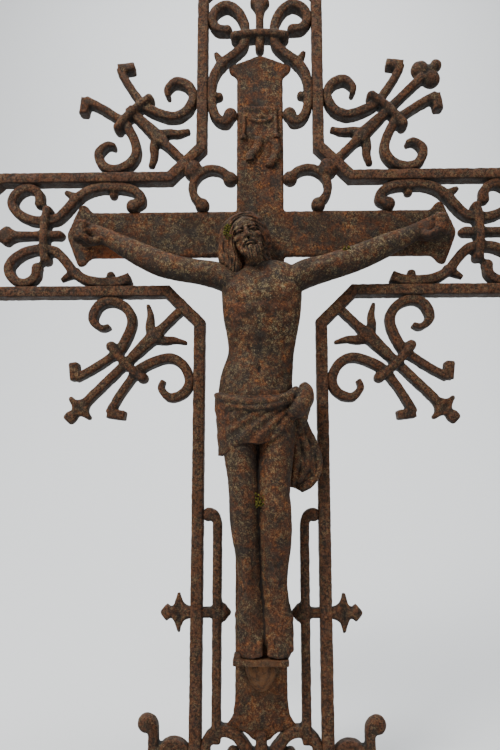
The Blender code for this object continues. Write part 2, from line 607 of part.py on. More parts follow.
def corpus():
    stations = (TORSO, LEG_LEFT, LEG_RIGHT, ARM_LEFT, ARM_RIGHT, HEAD, HAIR_LEFT, HAIR_RIGHT, NOSE, BEARD,
                CHEST_LEFT, CHEST_RIGHT, KNOT, KNOT_TAIL, HANGING_END, WAIST_ROLL)
    solids = [limb("limb", rows) for rows in stations]
    solids += [loincloth()] + fingers(-1, 230, -3) + fingers(1, 229, 2)
    body = joined("corpus", solids)
    remesh = body.modifiers.new("one_skin", "REMESH")
    remesh.mode = "VOXEL"
    remesh.voxel_size = FIGURE_VOXEL
    soften = body.modifiers.new("soften", "SMOOTH")
    soften.factor = 0.5
    soften.iterations = 2
    skin = solidified("corpus", body)
    thin = skin.modifiers.new("thin", "DECIMATE")
    thin.ratio = FIGURE_TRIANGLES / sum(len(f.vertices) - 2 for f in skin.data.polygons)
    thin.use_collapse_triangulate = True
    coarse = solidified("corpus", skin)
    for obj in (body, skin):
        bpy.data.objects.remove(obj)
    reach = 1.0
    back = BOARD_FACE - CLEARANCE
    sole = LEDGE_TOP + CLEARANCE
    return cut("corpus", coarse, [block("back", (-reach, back, -reach), (reach, reach, 2 * reach)),
                                  block("sole", (-reach, -reach, -reach), (reach, 2 * reach, sole))])


def joined(name, solids):
    """Several bodies in one mesh, for the voxel skin that is drawn round them."""
    bm = bmesh.new()
    for solid in solids:
        bm.from_mesh(solid.data)
        bpy.data.objects.remove(solid)
    mesh = bpy.data.meshes.new(name)
    bm.to_mesh(mesh)
    bm.free()
    return place_mesh(name, mesh)


# Finish and collection

def iron(name, colour, roughness):
    material = bpy.data.materials.new(name)
    material.use_nodes = True
    shader = material.node_tree.nodes["Principled BSDF"]
    shader.inputs["Base Color"].default_value = (*colour, 1)
    shader.inputs["Roughness"].default_value = roughness
    shader.inputs["Metallic"].default_value = 0.35
    return material


def main():
    for obj in list(bpy.data.objects):
        bpy.data.objects.remove(obj)
    collection = bpy.data.collections.new("iron_grave_cross")
    bpy.context.scene.collection.children.link(collection)
    cross = openwork_cross()
    cross.data.materials.append(iron("rusted_iron", IRON, 0.85))
    figure = corpus()
    figure.data.materials.append(iron("figure_iron", FIGURE_IRON, 0.9))
    for obj in (cross, figure):
        bpy.context.scene.collection.objects.unlink(obj)
        collection.objects.link(obj)


main()
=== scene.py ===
"""Looks of the iron grave cross, laid out as a Blender add-on and run as a script.

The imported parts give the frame. Every piece here is drawn in metres in that same frame: flat work as
(x, z) pairs from the crossing of the cross board, the figure in parts of its own height.
"""

import math
from functools import partial

import bmesh
import bpy
import numpy as np
from bpy.props import FloatProperty, FloatVectorProperty, IntProperty, PointerProperty
from bpy.types import Operator, Panel, PropertyGroup
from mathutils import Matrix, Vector

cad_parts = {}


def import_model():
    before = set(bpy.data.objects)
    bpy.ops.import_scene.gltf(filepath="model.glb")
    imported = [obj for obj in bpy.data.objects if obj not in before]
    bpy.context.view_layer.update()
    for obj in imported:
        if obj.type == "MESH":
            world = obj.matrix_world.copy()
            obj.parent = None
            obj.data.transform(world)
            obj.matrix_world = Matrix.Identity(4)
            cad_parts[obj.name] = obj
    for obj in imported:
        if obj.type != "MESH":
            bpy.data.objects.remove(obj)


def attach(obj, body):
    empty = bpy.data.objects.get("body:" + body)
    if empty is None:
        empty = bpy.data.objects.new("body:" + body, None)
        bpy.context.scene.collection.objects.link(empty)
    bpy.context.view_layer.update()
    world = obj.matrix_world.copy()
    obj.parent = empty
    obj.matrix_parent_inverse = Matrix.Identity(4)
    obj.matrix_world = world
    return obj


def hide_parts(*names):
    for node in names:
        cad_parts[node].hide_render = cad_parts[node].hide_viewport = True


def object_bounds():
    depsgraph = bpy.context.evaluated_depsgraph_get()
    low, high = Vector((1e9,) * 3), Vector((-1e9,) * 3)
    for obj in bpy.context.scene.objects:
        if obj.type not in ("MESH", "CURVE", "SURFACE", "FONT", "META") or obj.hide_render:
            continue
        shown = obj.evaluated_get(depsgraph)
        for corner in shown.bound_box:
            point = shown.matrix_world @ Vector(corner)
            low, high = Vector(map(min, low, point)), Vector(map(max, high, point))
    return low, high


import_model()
CAD_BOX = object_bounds()

bl_info = {
    "name": "Iron grave cross",
    "version": (1, 0, 0),
    "blender": (4, 5, 0),
    "location": "View3D > Sidebar > Grave cross",
    "description": "Cast iron openwork cross with its figure, rust, lichen and moss",
    "category": "Object",
}


# Settings a user would change

def length(label, text, default):
    """A size that can be set, in metres."""
    return FloatProperty(name=label, description=text, default=default, unit="LENGTH", precision=4)


def colour(label, text, default):
    """A colour that can be set, as linear red, green and blue."""
    return FloatVectorProperty(name=label, description=text, default=default, size=3, subtype="COLOR",
                               min=0, max=1)


class CastingSizes(PropertyGroup):
    """The casting's sizes."""
    crossing: length("Crossing height", "Ground to the crossing of the board", 0.675)
    arm_reach: length("Arm reach", "Crossing to the centre line of an end bar", 0.375)
    rail_half: length("Rail distance", "Middle of the cross to the centre line of a rail", 0.0775)
    rail_width: length("Rail width", "Width of a rail seen from the front", 0.0145)
    rail_depth: length("Rail depth", "Depth of a rail", 0.0225)
    inner_chamfer: length("Inner bevel", "Run of the bevelled inner corners", 0.042)
    end_chamfer: length("End bevel", "Run of the bevelled outer corners", 0.030)
    board_width: length("Board width", "Width of the flat cross board", 0.062)
    board_thickness: length("Board thickness", "Thickness of the flat cross board", 0.0075)
    board_reach: length("Board reach", "Crossing to the tip of a board arm", 0.254)
    board_drop: length("Board drop", "Crossing to the lower tip of the board", 0.618)
    scroll_width: length("Scroll width", "Width of the scroll bars", 0.0124)
    scroll_depth: length("Scroll depth", "Depth of the scroll bars", 0.0205)
    stem_width: length("Stem width", "Width of the straight stems", 0.0112)
    foot_height: length("Foot height", "Height of the foot bar", 0.018)
    figure_height: length("Figure height", "Crown to soles", 0.530)
    bar_voxel: length("Bar grain", "Mesh size of the scrollwork", 0.00174)
    board_voxel: length("Board grain", "Mesh size of the board", 0.0021)
    body_voxel: length("Body grain", "Mesh size of the figure's body", 0.00142)
    head_voxel: length("Head grain", "Mesh size of the figure's head", 0.00088)
    pitting: length("Pitting", "Height of the rust scale and depth of its pits", 0.00050)


class IronColours(PropertyGroup):
    """Colours of the iron, what grows on it, its stains and the painted shade."""
    scale: colour("Iron", "Dark brown of the rusted iron", (0.040, 0.0220, 0.0120))
    warm: colour("Warm rust", "Red brown patches", (0.125, 0.0410, 0.0160))
    slate: colour("Slate", "Cool dark patches", (0.023, 0.0175, 0.0135))
    bloom: colour("Orange bloom", "Bright specks of fresh rust", (0.27, 0.0980, 0.0270))
    lichen: colour("Lichen", "Grey and khaki crust", (0.24, 0.1800, 0.0880))
    chalk: colour("Chalk", "Pale specks", (0.40, 0.34, 0.22))
    # Painted shade: nearly black in the hollows, and a little lighter on the undersides.
    shadow: colour("Painted shade", "Nearly black hollows", (0.006, 0.004, 0.003))
    ochre: colour("Ochre", "Stain round the bracket under the feet", (0.200, 0.088, 0.034))
    stain: colour("Orange stain", "Stain on the board beside a hand", (0.26, 0.072, 0.024))
    moss: colour("Moss", "Moss tufts", (0.165, 0.140, 0.010))
    moss_bed: colour("Moss bed", "Dark green between the tufts", (0.022, 0.021, 0.005))
    moss_tips: colour("Moss tips", "Dry yellow tips", (0.27, 0.19, 0.02))


class StageSettings(PropertyGroup):
    """The camera, as it was recovered from the photograph."""
    distance: length("Camera distance", "Camera to the plane of the cross", 0.875)
    side: length("Camera offset", "Camera to the right of the cross", 0.0095)
    drop: length("Camera drop", "Crossing down to the camera", 0.3245)
    pitch: FloatProperty(name="Pitch", description="Degrees the camera looks up", default=9.0)
    yaw: FloatProperty(name="Yaw", description="Degrees the camera looks left", default=1.5)
    focal_px: FloatProperty(name="Focal length", description="In pixels of the frame", default=700.0)
    frame_px: IntProperty(name="Frame height", description="Height of the picture in pixels", default=750)


def sizes():
    """The casting's sizes as they are set on the scene."""
    return bpy.context.scene.cross_sizes


def colours():
    """The colours as they are set on the scene."""
    return bpy.context.scene.cross_colours


# Points

def smooth(points, steps=8):
    """Points on the Catmull-Rom curve through the given rows, `steps` to each stretch."""
    rows = np.asarray(points, float)
    ends = np.vstack([2 * rows[0] - rows[1], rows, 2 * rows[-1] - rows[-2]])
    t = (np.arange(steps) / steps)[:, None]
    out = []
    for a, b, c, d in zip(ends, ends[1:], ends[2:], ends[3:]):
        out.append(0.5 * (2 * b + (c - a) * t + (2 * a - 5 * b + 4 * c - d) * t**2
                          + (3 * b - a - 3 * c + d) * t**3))
    return np.vstack(out + [rows[-1:]])


def evenly(path, gap):
    """The same line with points about `gap` apart; corners are kept as they are."""
    p = np.asarray(path, float)
    legs = np.linalg.norm(np.diff(p, axis=0), axis=1)
    out = [np.linspace(a, b, max(1, int(round(d / gap))), endpoint=False)
           for a, b, d in zip(p, p[1:], legs)]
    return np.vstack(out + [p[-1:]])


def lengths(path):
    """How far along a line each of its points lies."""
    return np.append(0, np.cumsum(np.linalg.norm(np.diff(path, axis=0), axis=1)))


def polar(centre, radius, degrees):
    """The point at a radius and an angle, counted from +x, round a centre."""
    angle = math.radians(degrees)
    return (centre[0] + radius * math.cos(angle), centre[1] + radius * math.sin(angle))


def arc(centre, radius, start, end, count):
    """Evenly spaced points on a circle from one angle to another."""
    return [polar(centre, radius, start + (end - start) * i / (count - 1)) for i in range(count)]


def lattice(cell, seed):
    """A repeatable value from 0 to 1 for each whole-numbered cell."""
    mixed = np.sin(cell @ np.array([127.1, 311.7, 74.7]) + seed * 17.17) * 43758.5453
    return mixed - np.floor(mixed)


def grain(points, size, seed=0):
    """Value noise from -1 to 1: lattice values blended smoothly over cells of the given size."""
    q = points / size
    cell = np.floor(q)
    f = q - cell
    f = f * f * (3 - 2 * f)
    total = np.zeros(len(points))
    for corner in np.ndindex(2, 2, 2):
        corner = np.array(corner)
        weight = np.prod(np.where(corner, f, 1 - f), axis=1)
        total += weight * lattice(cell + corner, seed)
    return total * 2 - 1


# Turning a motif drawn once into its places

def turned(quarter):
    """Carries (outwards, across) pairs to an arm: 0 right, 1 top, 2 left, 3 bottom."""
    c, s = ((1, 0), (0, 1), (-1, 0), (0, -1))[quarter]
    return lambda p: np.column_stack([c * p[:, 0] - s * p[:, 1], s * p[:, 0] + c * p[:, 1]])


def diagonal(side, level):
    """Carries (outwards, across) pairs to a corner of the rails, along its diagonal."""
    half, corner = math.sqrt(0.5), sizes().rail_half

    def place(p):
        """Half of the sum and of the difference, times the square root of 2, from the rails' corner."""
        along = corner + (p[:, 0] + p[:, 1]) * half
        up = corner + (p[:, 0] - p[:, 1]) * half
        return np.column_stack([side * along, level * up])
    return place


def stay(points):
    """The points as an array, left where they are."""
    return np.asarray(points, float)


def mirrored(points):
    """The points on the other side of the outward axis: (along, -across)."""
    return stay(points) * (1, -1)


def flipped(points):
    """The points on the left half of the cross: (-x, z)."""
    return stay(points) * (-1, 1)


# Surfaces

class Surface:
    """Vertices and faces gathered from several closed shells before they become one mesh."""

    def __init__(self):
        self.points, self.quads, self.fans, self.count = [], [], [], 0

    def grid(self, rings, closed=False):
        """A tube through rings of points, (rings, sides, 3); open ends get a fan of triangles."""
        rings = np.asarray(rings, float)
        n, m = rings.shape[:2]
        i, j = np.meshgrid(np.arange(n if closed else n - 1), np.arange(m), indexing="ij")
        a, b = i * m + j, i * m + (j + 1) % m
        c, d = (i + 1) % n * m + (j + 1) % m, (i + 1) % n * m + j
        self.quads.append(np.stack([a, b, c, d], axis=-1).reshape(-1, 4) + self.count)
        self.points.append(rings.reshape(-1, 3))
        total = n * m
        if not closed:
            around = np.arange(m)
            after = (around + 1) % m
            self.points.append(np.array([rings[0].mean(axis=0), rings[-1].mean(axis=0)]))
            self.fans.append(np.stack([after, around, np.full(m, total)], axis=-1) + self.count)
            last = (n - 1) * m
            far_end = np.stack([last + around, last + after, np.full(m, total + 1)], axis=-1)
            self.fans.append(far_end + self.count)
            total += 2
        self.count += total

    def mesh(self, name):
        """The gathered shells as one mesh with its normals facing outwards."""
        points = np.vstack(self.points)
        quads = np.vstack(self.quads)
        fans = np.vstack(self.fans) if self.fans else np.zeros((0, 3), int)
        mesh = bpy.data.meshes.new(name)
        mesh.vertices.add(len(points))
        mesh.vertices.foreach_set("co", points.ravel())
        mesh.loops.add(quads.size + fans.size)
        corners = np.concatenate([quads.ravel(), fans.ravel()])
        mesh.loops.foreach_set("vertex_index", corners.astype(np.int32))
        starts = np.concatenate([np.arange(len(quads)) * 4, quads.size + np.arange(len(fans)) * 3])
        mesh.polygons.add(len(starts))
        mesh.polygons.foreach_set("loop_start", starts.astype(np.int32))
        mesh.update(calc_edges=True)
        mesh.validate()
        bm = bmesh.new()
        bm.from_mesh(mesh)
        bmesh.ops.recalc_face_normals(bm, faces=bm.faces)
        bm.to_mesh(mesh)
        bm.free()
        return mesh


def section(sides, power):
    """A rounded rectangle of unit half sizes: cosine and sine drawn out to a flatter curve."""
    turn = (np.arange(sides) + 0.5) * 2 * math.pi / sides
    c, s = np.cos(turn), np.sin(turn)
    return np.sign(c) * np.abs(c)**(2 / power), np.sign(s) * np.abs(s)**(2 / power)


def bar(surface, path, width, depth, tip=1.0, root=1.0, power=6.0, sides=18, gap=0.002, closed=False,
        out=0.0, tip_depth=None):
    """A bar along a path in the plane of the cross, its rounded section square to the path.

    `width` and `depth` are one value, or one for each point of the path.
    """
    rows = stay(path)
    if closed:
        rows = np.vstack([rows, rows[:1]])
    line = evenly(rows, gap)
    wide = np.interp(lengths(line), lengths(rows), np.broadcast_to(width, len(rows)))[:, None]
    deep = np.interp(lengths(line), lengths(rows), np.broadcast_to(depth, len(rows)))[:, None]
    if closed:
        line, wide, deep = line[:-1], wide[:-1], deep[:-1]
        before, after = line - np.roll(line, 1, axis=0), np.roll(line, -1, axis=0) - line
    else:
        legs = np.diff(line, axis=0)
        before, after = np.vstack([legs[:1], legs]), np.vstack([legs, legs[-1:]])
    before /= np.linalg.norm(before, axis=1)[:, None]
    after /= np.linalg.norm(after, axis=1)[:, None]
    along = before + after
    mitre = np.minimum(2 / np.linalg.norm(along, axis=1), 1.6)[:, None]
    along /= np.linalg.norm(along, axis=1)[:, None]
    side = np.column_stack([-along[:, 1], along[:, 0]]) * mitre
    share = np.linspace(0, 1, len(line))[:, None]
    half = wide / 2 * (1 + (tip - 1) * share**2) * (1 + (root - 1) * np.clip(1 - share / 0.16, 0, 1))
    deep = deep / 2 * (1 + ((tip if tip_depth is None else tip_depth) - 1) * share**3)
    c, s = section(sides, power)
    flat = line[:, None] + side[:, None] * (half * c)[..., None]
    y = out + deep * s
    z = flat[..., 1] + sizes().crossing
    surface.grid(np.stack([flat[..., 0], y, z], axis=-1), closed)


def profiled(surface, place, rows, power=3.6):
    """A body on the outward axis through (along, half width, depth) rows."""
    rows = smooth(rows, 3)
    axis = np.column_stack([rows[:, 0], 0 * rows[:, 0]])
    bar(surface, place(axis), 2 * rows[:, 1], rows[:, 2], power=power, gap=0.0008, sides=22)


def knob(surface, centre, radius, deep=None, tall=1.0, power=3.0, rings=11, sides=20):
    """A rounded boss: a ball whose section along the depth is drawn out to a flatter curve."""
    deep = radius if deep is None else deep
    lift = np.linspace(-math.pi / 2, math.pi / 2, rings + 2)[1:-1][:, None]
    turn = np.linspace(0, 2 * math.pi, sides, endpoint=False)[None, :]
    flat = radius * np.cos(lift)**(2 / power)
    x = centre[0] + flat * np.cos(turn)
    z = centre[1] + flat * tall * np.sin(turn) + sizes().crossing
    y = np.broadcast_to(deep * np.sign(lift) * np.abs(np.sin(lift))**(2 / power), x.shape)
    surface.grid(np.stack([x, y, z], axis=-1))


def linked(name, mesh):
    """A new object with the given mesh, at the origin."""
    obj = bpy.data.objects.new(name, mesh)
    bpy.context.scene.collection.objects.link(obj)
    return obj


def evaluated(obj, name):
    """A new object with the mesh that an object's modifiers give."""
    bpy.context.view_layer.update()
    mesh = bpy.data.meshes.new_from_object(obj.evaluated_get(bpy.context.evaluated_depsgraph_get()))
    bpy.data.objects.remove(obj)
    mesh.name = name
    return linked(name, mesh)


def cast(name, mesh, voxel, soften=2):
    """Shells fused into one skin with small fillets, as if poured in one mould."""
    rough = linked(name + "_shells", mesh)
    remesh = rough.modifiers.new("one_skin", "REMESH")
    remesh.mode = "VOXEL"
    remesh.voxel_size = voxel
    relax = rough.modifiers.new("soften", "SMOOTH")
    relax.factor = 0.5
    relax.iterations = soften
    return evaluated(rough, name)


def points_of(mesh):
    """A mesh's vertices as rows of (x, y, z)."""
    points = np.empty(len(mesh.vertices) * 3)
    mesh.vertices.foreach_get("co", points)
    return points.reshape(-1, 3)


def normals_of(mesh):
    """A mesh's vertex normals as rows of (x, y, z)."""
    normals = np.empty(len(mesh.vertices) * 3, np.float32)
    mesh.vertex_normals.foreach_get("vector", normals)
    return normals.reshape(-1, 3).astype(float)


def neighbour_mean(mesh, values, rounds=1):
    """Each vertex's value averaged with its neighbours', some rounds in a row."""
    edges = np.empty(len(mesh.edges) * 2, np.int32)
    mesh.edges.foreach_get("vertices", edges)
    a, b = edges.reshape(-1, 2).T
    values = np.asarray(values, float).reshape(len(mesh.vertices), -1)
    degree = np.bincount(a, minlength=len(values)) + np.bincount(b, minlength=len(values)) + 1
    for _ in range(rounds):
        total = values.copy()
        for k in range(values.shape[1]):
            one_way = np.bincount(a, values[b, k], len(values))
            total[:, k] += one_way + np.bincount(b, values[a, k], len(values))
        values = total / degree[:, None]
    return values


def crevices(mesh, reach):
    """How deep each vertex lies below its surroundings, from -1 on an edge to 1 in a hollow."""
    points = points_of(mesh)
    lie = ((neighbour_mean(mesh, points, 6) - points) * normals_of(mesh)).sum(axis=1)
    return np.clip(lie / reach, -1, 1)


def store(mesh, name, values):
    """Keep one value for each vertex, for a material to read."""
    layer = mesh.attributes.new(name, "FLOAT", "POINT")
    layer.data.foreach_set("value", np.ascontiguousarray(values, np.float32))


def weather(obj, height, reach=0.0006, seed=1):
    """Rust scale and pits pushed into the surface; the hollows, for worn edges and painted shade, and the
    undersides, for painted shade, stored for the finish.
    """
    mesh = obj.data
    points, normals = points_of(mesh), normals_of(mesh)
    lumps = 0.55 * grain(points, 0.0065, seed) + 0.45 * grain(points, 0.0030, seed + 1)
    pits = np.clip(grain(points, 0.0048, seed + 2) - 0.35, 0, 1)
    points = points + normals * (height * (lumps - 1.6 * pits))[:, None]
    points = np.clip(points, np.array(CAD_BOX[0]) + 1e-5, np.array(CAD_BOX[1]) - 1e-5)
    mesh.vertices.foreach_set("co", points.ravel())
    mesh.update()
    # How hollow each vertex is: the finish lightens the edges from it as wear and paints shade into the
    # hollows.
    store(mesh, "hollow", crevices(mesh, reach))
    # How much each vertex faces downwards: the finish paints shade on the undersides from it.
    store(mesh, "under", np.clip(-neighbour_mean(mesh, normals_of(mesh)[:, 2:], 2)[:, 0], 0, 1))
    mesh.shade_smooth()


def stands_for(obj, node, material):
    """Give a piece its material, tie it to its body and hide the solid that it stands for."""
    obj.data.materials.clear()
    obj.data.materials.append(material)
    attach(obj, "root")
    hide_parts(node)
    return obj


# The casting's pattern, in metres, on the same places as in the solids

SPRAY_NODE, SPRAY_COLLAR, SPRAY_COLLAR_HALF, SPRAY_BUD = 0.078, 0.131, 0.030, 0.200
SPRAY_RUN, SPRAY_CURL, SPRAY_PAIR = 0.1146, 0.0258, 0.0185
CORNER_CENTRE, CORNER_RADIUS, CORNER_SWEEP = 0.063, 0.026, 107.0
CORNER_BOSS, CORNER_BOSS_RADIUS = 0.0895, 0.0128
LYRE_COLLAR, LYRE_COLLAR_HALF, LYRE_PAIR = 0.281, 0.0345, 0.0195
LYRE_BEAD, LYRE_BEAD_RADIUS, LYRE_BUD = 0.194, 0.0058, 0.318
INNER_RAIL, INNER_RAIL_WIDTH, INNER_RAIL_TOP = 0.053, 0.0112, 0.352
TIE_DROP, TIE_HEIGHT, TIE_INNER = 0.4745, 0.011, 0.036
ARCH_CENTRE, ARCH_RADIUS, SIDE_CURL_RADIUS = 0.0435, 0.0225, 0.0150
HOOK_X, HOOK_TOP = 0.1265, 0.588
TITLE_DROP, TITLE_HEIGHT, TITLE_HALF, TITLE_RELIEF = 0.094, 0.084, 0.0245, 0.0055
LEDGE_THICKNESS, LEDGE_DEPTH, CONSOLE_HEIGHT, CONSOLE_HALF = 0.0085, 0.040, 0.040, 0.0190
HEAD_HALF, HEAD_LENGTH, HEAD_NECK = 0.0425, 0.018, 0.036
FOOT_HALF, FOOT_DEPTH = 0.142, 0.030
LEAF_DEPTH, COLLAR_WIDTH, COLLAR_DEPTH, BALL, BITE = 0.0155, 0.0108, 0.0280, 0.0097, 0.0012
FIGURE_PARTS, SOLE_PARTS, CLEARANCE = 535, 523, 0.0003
RELIEF_VOXEL, CLOTH_VOXEL = 0.00085, 0.0011


def board_face():
    """Depth of the board's front face; the front looks towards -y."""
    return -sizes().board_thickness / 2


def part():
    """One part of the figure's height, in metres."""
    return sizes().figure_height / FIGURE_PARTS


def foot_top():
    """Top of the foot bar, measured from the crossing."""
    return sizes().foot_height - sizes().crossing


def ledge_top():
    """Top of the ledge, a clearance below the soles, measured from the crossing."""
    return -SOLE_PARTS * part() - CLEARANCE


# Frame, board and foot

def rails(surface):
    """The rail round the cross: a rounded rectangle carried along its bevelled outline."""
    s = sizes()
    h, c, r, e = s.rail_half, s.inner_chamfer, s.arm_reach, s.end_chamfer
    quarter = np.array([(h + c, -h), (r - e, -h), (r, -h + e), (r, h - e), (r - e, h), (h + c, h)])
    upper = [turned(q)(quarter) for q in (0, 1, 2)]
    bottom = foot_top() - s.foot_height / 2
    line = np.vstack(upper + [[(-h, -h - c), (-h, bottom), (h, bottom), (h, -h - c)]])
    start = int(np.argmin(line[:, 1])) + 1
    line = np.vstack([line[start:], line[:start]])
    bar(surface, line, s.rail_width, s.rail_depth, power=8.0, sides=22, gap=0.0030)


def board_outline():
    """The board's edge: ends with rounded ears; the lower end flares into the foot scrolls."""
    s = sizes()
    w = s.board_width / 2

    def end(reach):
        """One eared end as (outwards, across) points, round from one neck to the other."""
        half = smooth([(reach - HEAD_NECK, w), (reach - 0.0325, w + 0.0012), (reach - 0.0290, w + 0.0048),
                       (reach - 0.0265, w + 0.0084), (reach - 0.0225, HEAD_HALF - 0.0008)], 3)
        lip = [(reach - HEAD_LENGTH, HEAD_HALF), (reach - 0.0152, HEAD_HALF - 0.0030),
               (reach - 0.007, 0.019), (reach - 0.0015, 0.005)]
        half = np.vstack([half, lip])
        return np.vstack([mirrored(half), [(reach, 0)], half[::-1]])

    reach = s.board_drop
    foot = smooth([(reach - 0.046, w), (reach - 0.030, w + 0.0022), (reach - 0.0215, w + 0.0065),
                   (reach - 0.0165, HEAD_HALF - 0.001), (reach - 0.0115, HEAD_HALF - 0.0035),
                   (reach - 0.0105, 0.030), (reach - 0.0085, 0.019), (reach - 0.0015, 0.0105)], 3)
    lower = np.vstack([mirrored(foot), [(reach + 0.004, 0)], foot[::-1]])
    ends = [turned(q)(lower if q == 3 else end(s.board_reach)) for q in range(4)]
    corners = [(w, w), (-w, w), (-w, -w), (w, -w)]
    return np.vstack([np.vstack([points, corner]) for points, corner in zip(ends, corners)])


def plate(name, outline, low, high, bevel=0.0):
    """A flat plate with the given outline from depth `low` to `high`, its edges bevelled."""
    bm = bmesh.new()
    face = bm.faces.new([bm.verts.new((x, low, sizes().crossing + z)) for x, z in outline])
    grown = bmesh.ops.extrude_face_region(bm, geom=[face])
    moved = [v for v in grown["geom"] if isinstance(v, bmesh.types.BMVert)]
    bmesh.ops.translate(bm, vec=(0, high - low, 0), verts=moved)
    if bevel:
        rims = [e for e in bm.edges if abs(e.verts[0].co.y - e.verts[1].co.y) < 1e-7]
        bmesh.ops.bevel(bm, geom=rims, offset=bevel, segments=2, profile=0.6, affect="EDGES")
    bmesh.ops.recalc_face_normals(bm, faces=bm.faces)
    mesh = bpy.data.meshes.new(name)
    bm.to_mesh(mesh)
    bm.free()
    return mesh


# Motifs in their own (outwards, across) frame; `place` carries them to their spot

def bud(surface, place, start):
    """A bud in one piece with its stem: a swelling, two blunt wings, a neck and a squarish knob."""
    rows = [(-0.004, 0.0056, 0.018), (0.002, 0.0066, 0.018), (0.0065, 0.0092, 0.018),
            (0.0092, 0.0130, 0.017), (0.0105, 0.0196, 0.014), (0.0150, 0.0190, 0.014),
            (0.0172, 0.0110, 0.016), (0.0205, 0.0060, 0.015), (0.0230, 0.0062, 0.015),
            (0.0262, 0.0080, 0.017), (0.0335, 0.0076, 0.016), (0.0358, 0.0052, 0.011)]
    profiled(surface, place, stay(rows) + (start, 0, 0))


def lobed_bud(surface, place, start):
    """A bud of two round lobes side by side with a small knob on a short neck."""
    s = sizes()
    for across in (-0.0096, 0.0096):
        knob(surface, place(stay([(start + 0.0055, across)]))[0], 0.0126, s.scroll_depth / 2, power=2.4)
    bar(surface, place(stay([(start - 0.012, 0), (start, 0), (start + 0.024, 0)])),
        [0.0112, 0.019, 0.0105], 0.016, power=3.0)
    knob(surface, place(stay([(start + 0.0245, 0.001)]))[0], 0.0082, 0.0090, power=2.6)


def winged_bud(surface, place, start):
    """The bud of a tie rod: thin pointed wings, a neck and a diamond knob."""
    rows = [(0, 0.0070, 0.017), (0.0055, 0.0086, 0.017), (0.0092, 0.0118, 0.015), (0.0116, 0.0180, 0.012),
            (0.0128, 0.0236, 0.010), (0.0160, 0.0230, 0.010), (0.0176, 0.0170, 0.012),
            (0.0200, 0.0105, 0.015), (0.0228, 0.0066, 0.015), (0.0250, 0.0072, 0.016),
            (0.0285, 0.0102, 0.017), (0.0330, 0.0056, 0.013), (0.0365, 0.0014, 0.006)]
    profiled(surface, place, stay(rows) + (start, 0, 0), 2.8)


def spray_scroll(surface, place):
    """An S scroll: a curl that starts thin and touches the rail, a run past the collar, a blunt hook."""
    s = sizes()
    half = math.sqrt(0.5)
    from_rail = s.rail_width / 2 + SPRAY_CURL + s.scroll_width / 2 - BITE
    centre = ((SPRAY_RUN + from_rail) * half, (SPRAY_RUN - from_rail) * half)
    curl = [(-40, 0.27), (5, 0.58), (50, 0.90), (95, 0.99), (135, 1.0), (185, 1.0), (232, 1.08)]
    path = [polar(centre, SPRAY_CURL * share, angle) for angle, share in curl]
    run = [(SPRAY_COLLAR - 0.008, SPRAY_PAIR), (SPRAY_COLLAR + 0.016, SPRAY_PAIR + 0.002),
           (SPRAY_COLLAR + 0.040, SPRAY_PAIR + 0.007), (SPRAY_COLLAR + 0.060, SPRAY_PAIR + 0.013)]
    w = s.scroll_width
    rows = np.column_stack([path + run, [w] * (len(path) + 1) + [w * 0.84] * (len(run) - 1)])
    rows = smooth(rows, 6)
    bar(surface, place(rows[:, :2]), rows[:, 2], s.scroll_depth, root=0.5)
    corner = stay(run[-1])
    bar(surface, place(stay([corner + (0.0015, -0.0018), corner + (-0.0125, 0.0165)])),
        w * 0.98, s.scroll_depth, power=7.0)


def collar(surface, place, at, half):
    """A thick band over the bars, bowed a little, with a knob at each end."""
    rows = smooth([(at - 0.0012, -half), (at + 0.0012, -half * 0.5), (at + 0.0018, 0),
                   (at + 0.0012, half * 0.5), (at - 0.0012, half)], 3)
    bar(surface, place(rows), COLLAR_WIDTH, COLLAR_DEPTH, power=4.5)
    for across in (-half + 0.0015, half - 0.0015):
        knob(surface, place(stay([(at - 0.001, across)]))[0], COLLAR_WIDTH * 0.66, COLLAR_DEPTH * 0.51)


def spray(surface, place, side, level):
    """A corner spray: a stem that flares to a node with two barbs, collar, two scrolls and a bud."""
    s = sizes()
    broken = (side, level) == (-1, 1)
    w, flare = s.stem_width, SPRAY_NODE + 0.001
    end = SPRAY_COLLAR + 0.010 if broken else SPRAY_BUD
    start = s.inner_chamfer * math.sqrt(0.5)
    line = [(start, w), (flare - 0.012, w), (flare, w * 1.62), (flare + 0.015, w * 1.45),
            (SPRAY_COLLAR - 0.012, w * 1.15), (SPRAY_COLLAR + 0.004, w), (end, w)]
    rows = smooth(line, 4)
    bar(surface, place(rows * (1, 0)), rows[:, 1], s.scroll_depth)
    if broken:
        bar(surface, place(stay([(end - 0.004, 0.001), (end + 0.004, 0.002)])), w * 0.7, 0.013, tip=0.5,
            power=3.0)
    for half in (stay, mirrored):
        barb = [(SPRAY_NODE + 0.008, 0.001), (SPRAY_NODE - 0.001, 0.0135), (SPRAY_NODE - 0.0105, 0.0225),
                (SPRAY_NODE - 0.019, 0.0365)]
        bar(surface, place(half(smooth(barb, 6))), 0.0132, LEAF_DEPTH, tip=0.62 if level > 0 else 0.34,
            power=3.2, tip_depth=0.6)
        spray_scroll(surface, lambda p, half=half: place(half(p)))
    collar(surface, place, SPRAY_COLLAR, SPRAY_COLLAR_HALF)
    if not broken:
        (lobed_bud if (side, level) == (1, 1) else bud)(surface, place, SPRAY_BUD)


def corner_scroll(surface, place):
    """The small C scroll in an upper corner with a ball at each end, and the boss behind it."""
    s = sizes()
    centre = (CORNER_CENTRE, CORNER_CENTRE)
    path = arc(centre, CORNER_RADIUS, 45 - CORNER_SWEEP, 45 + CORNER_SWEEP, 15)
    low = (CORNER_CENTRE + 0.013, s.board_width / 2 + BALL - BITE)
    bar(surface, place(smooth([low] + path[1:-1] + [low[::-1]], 3)), s.scroll_width * 0.88, s.scroll_depth)
    for spot in (low, low[::-1]):
        knob(surface, place(stay([spot]))[0], BALL, s.scroll_depth / 2)
    knob(surface, place(stay([(CORNER_BOSS, CORNER_BOSS)]))[0], CORNER_BOSS_RADIUS,
         s.rail_depth / 2 + 0.0012, tall=1.12)


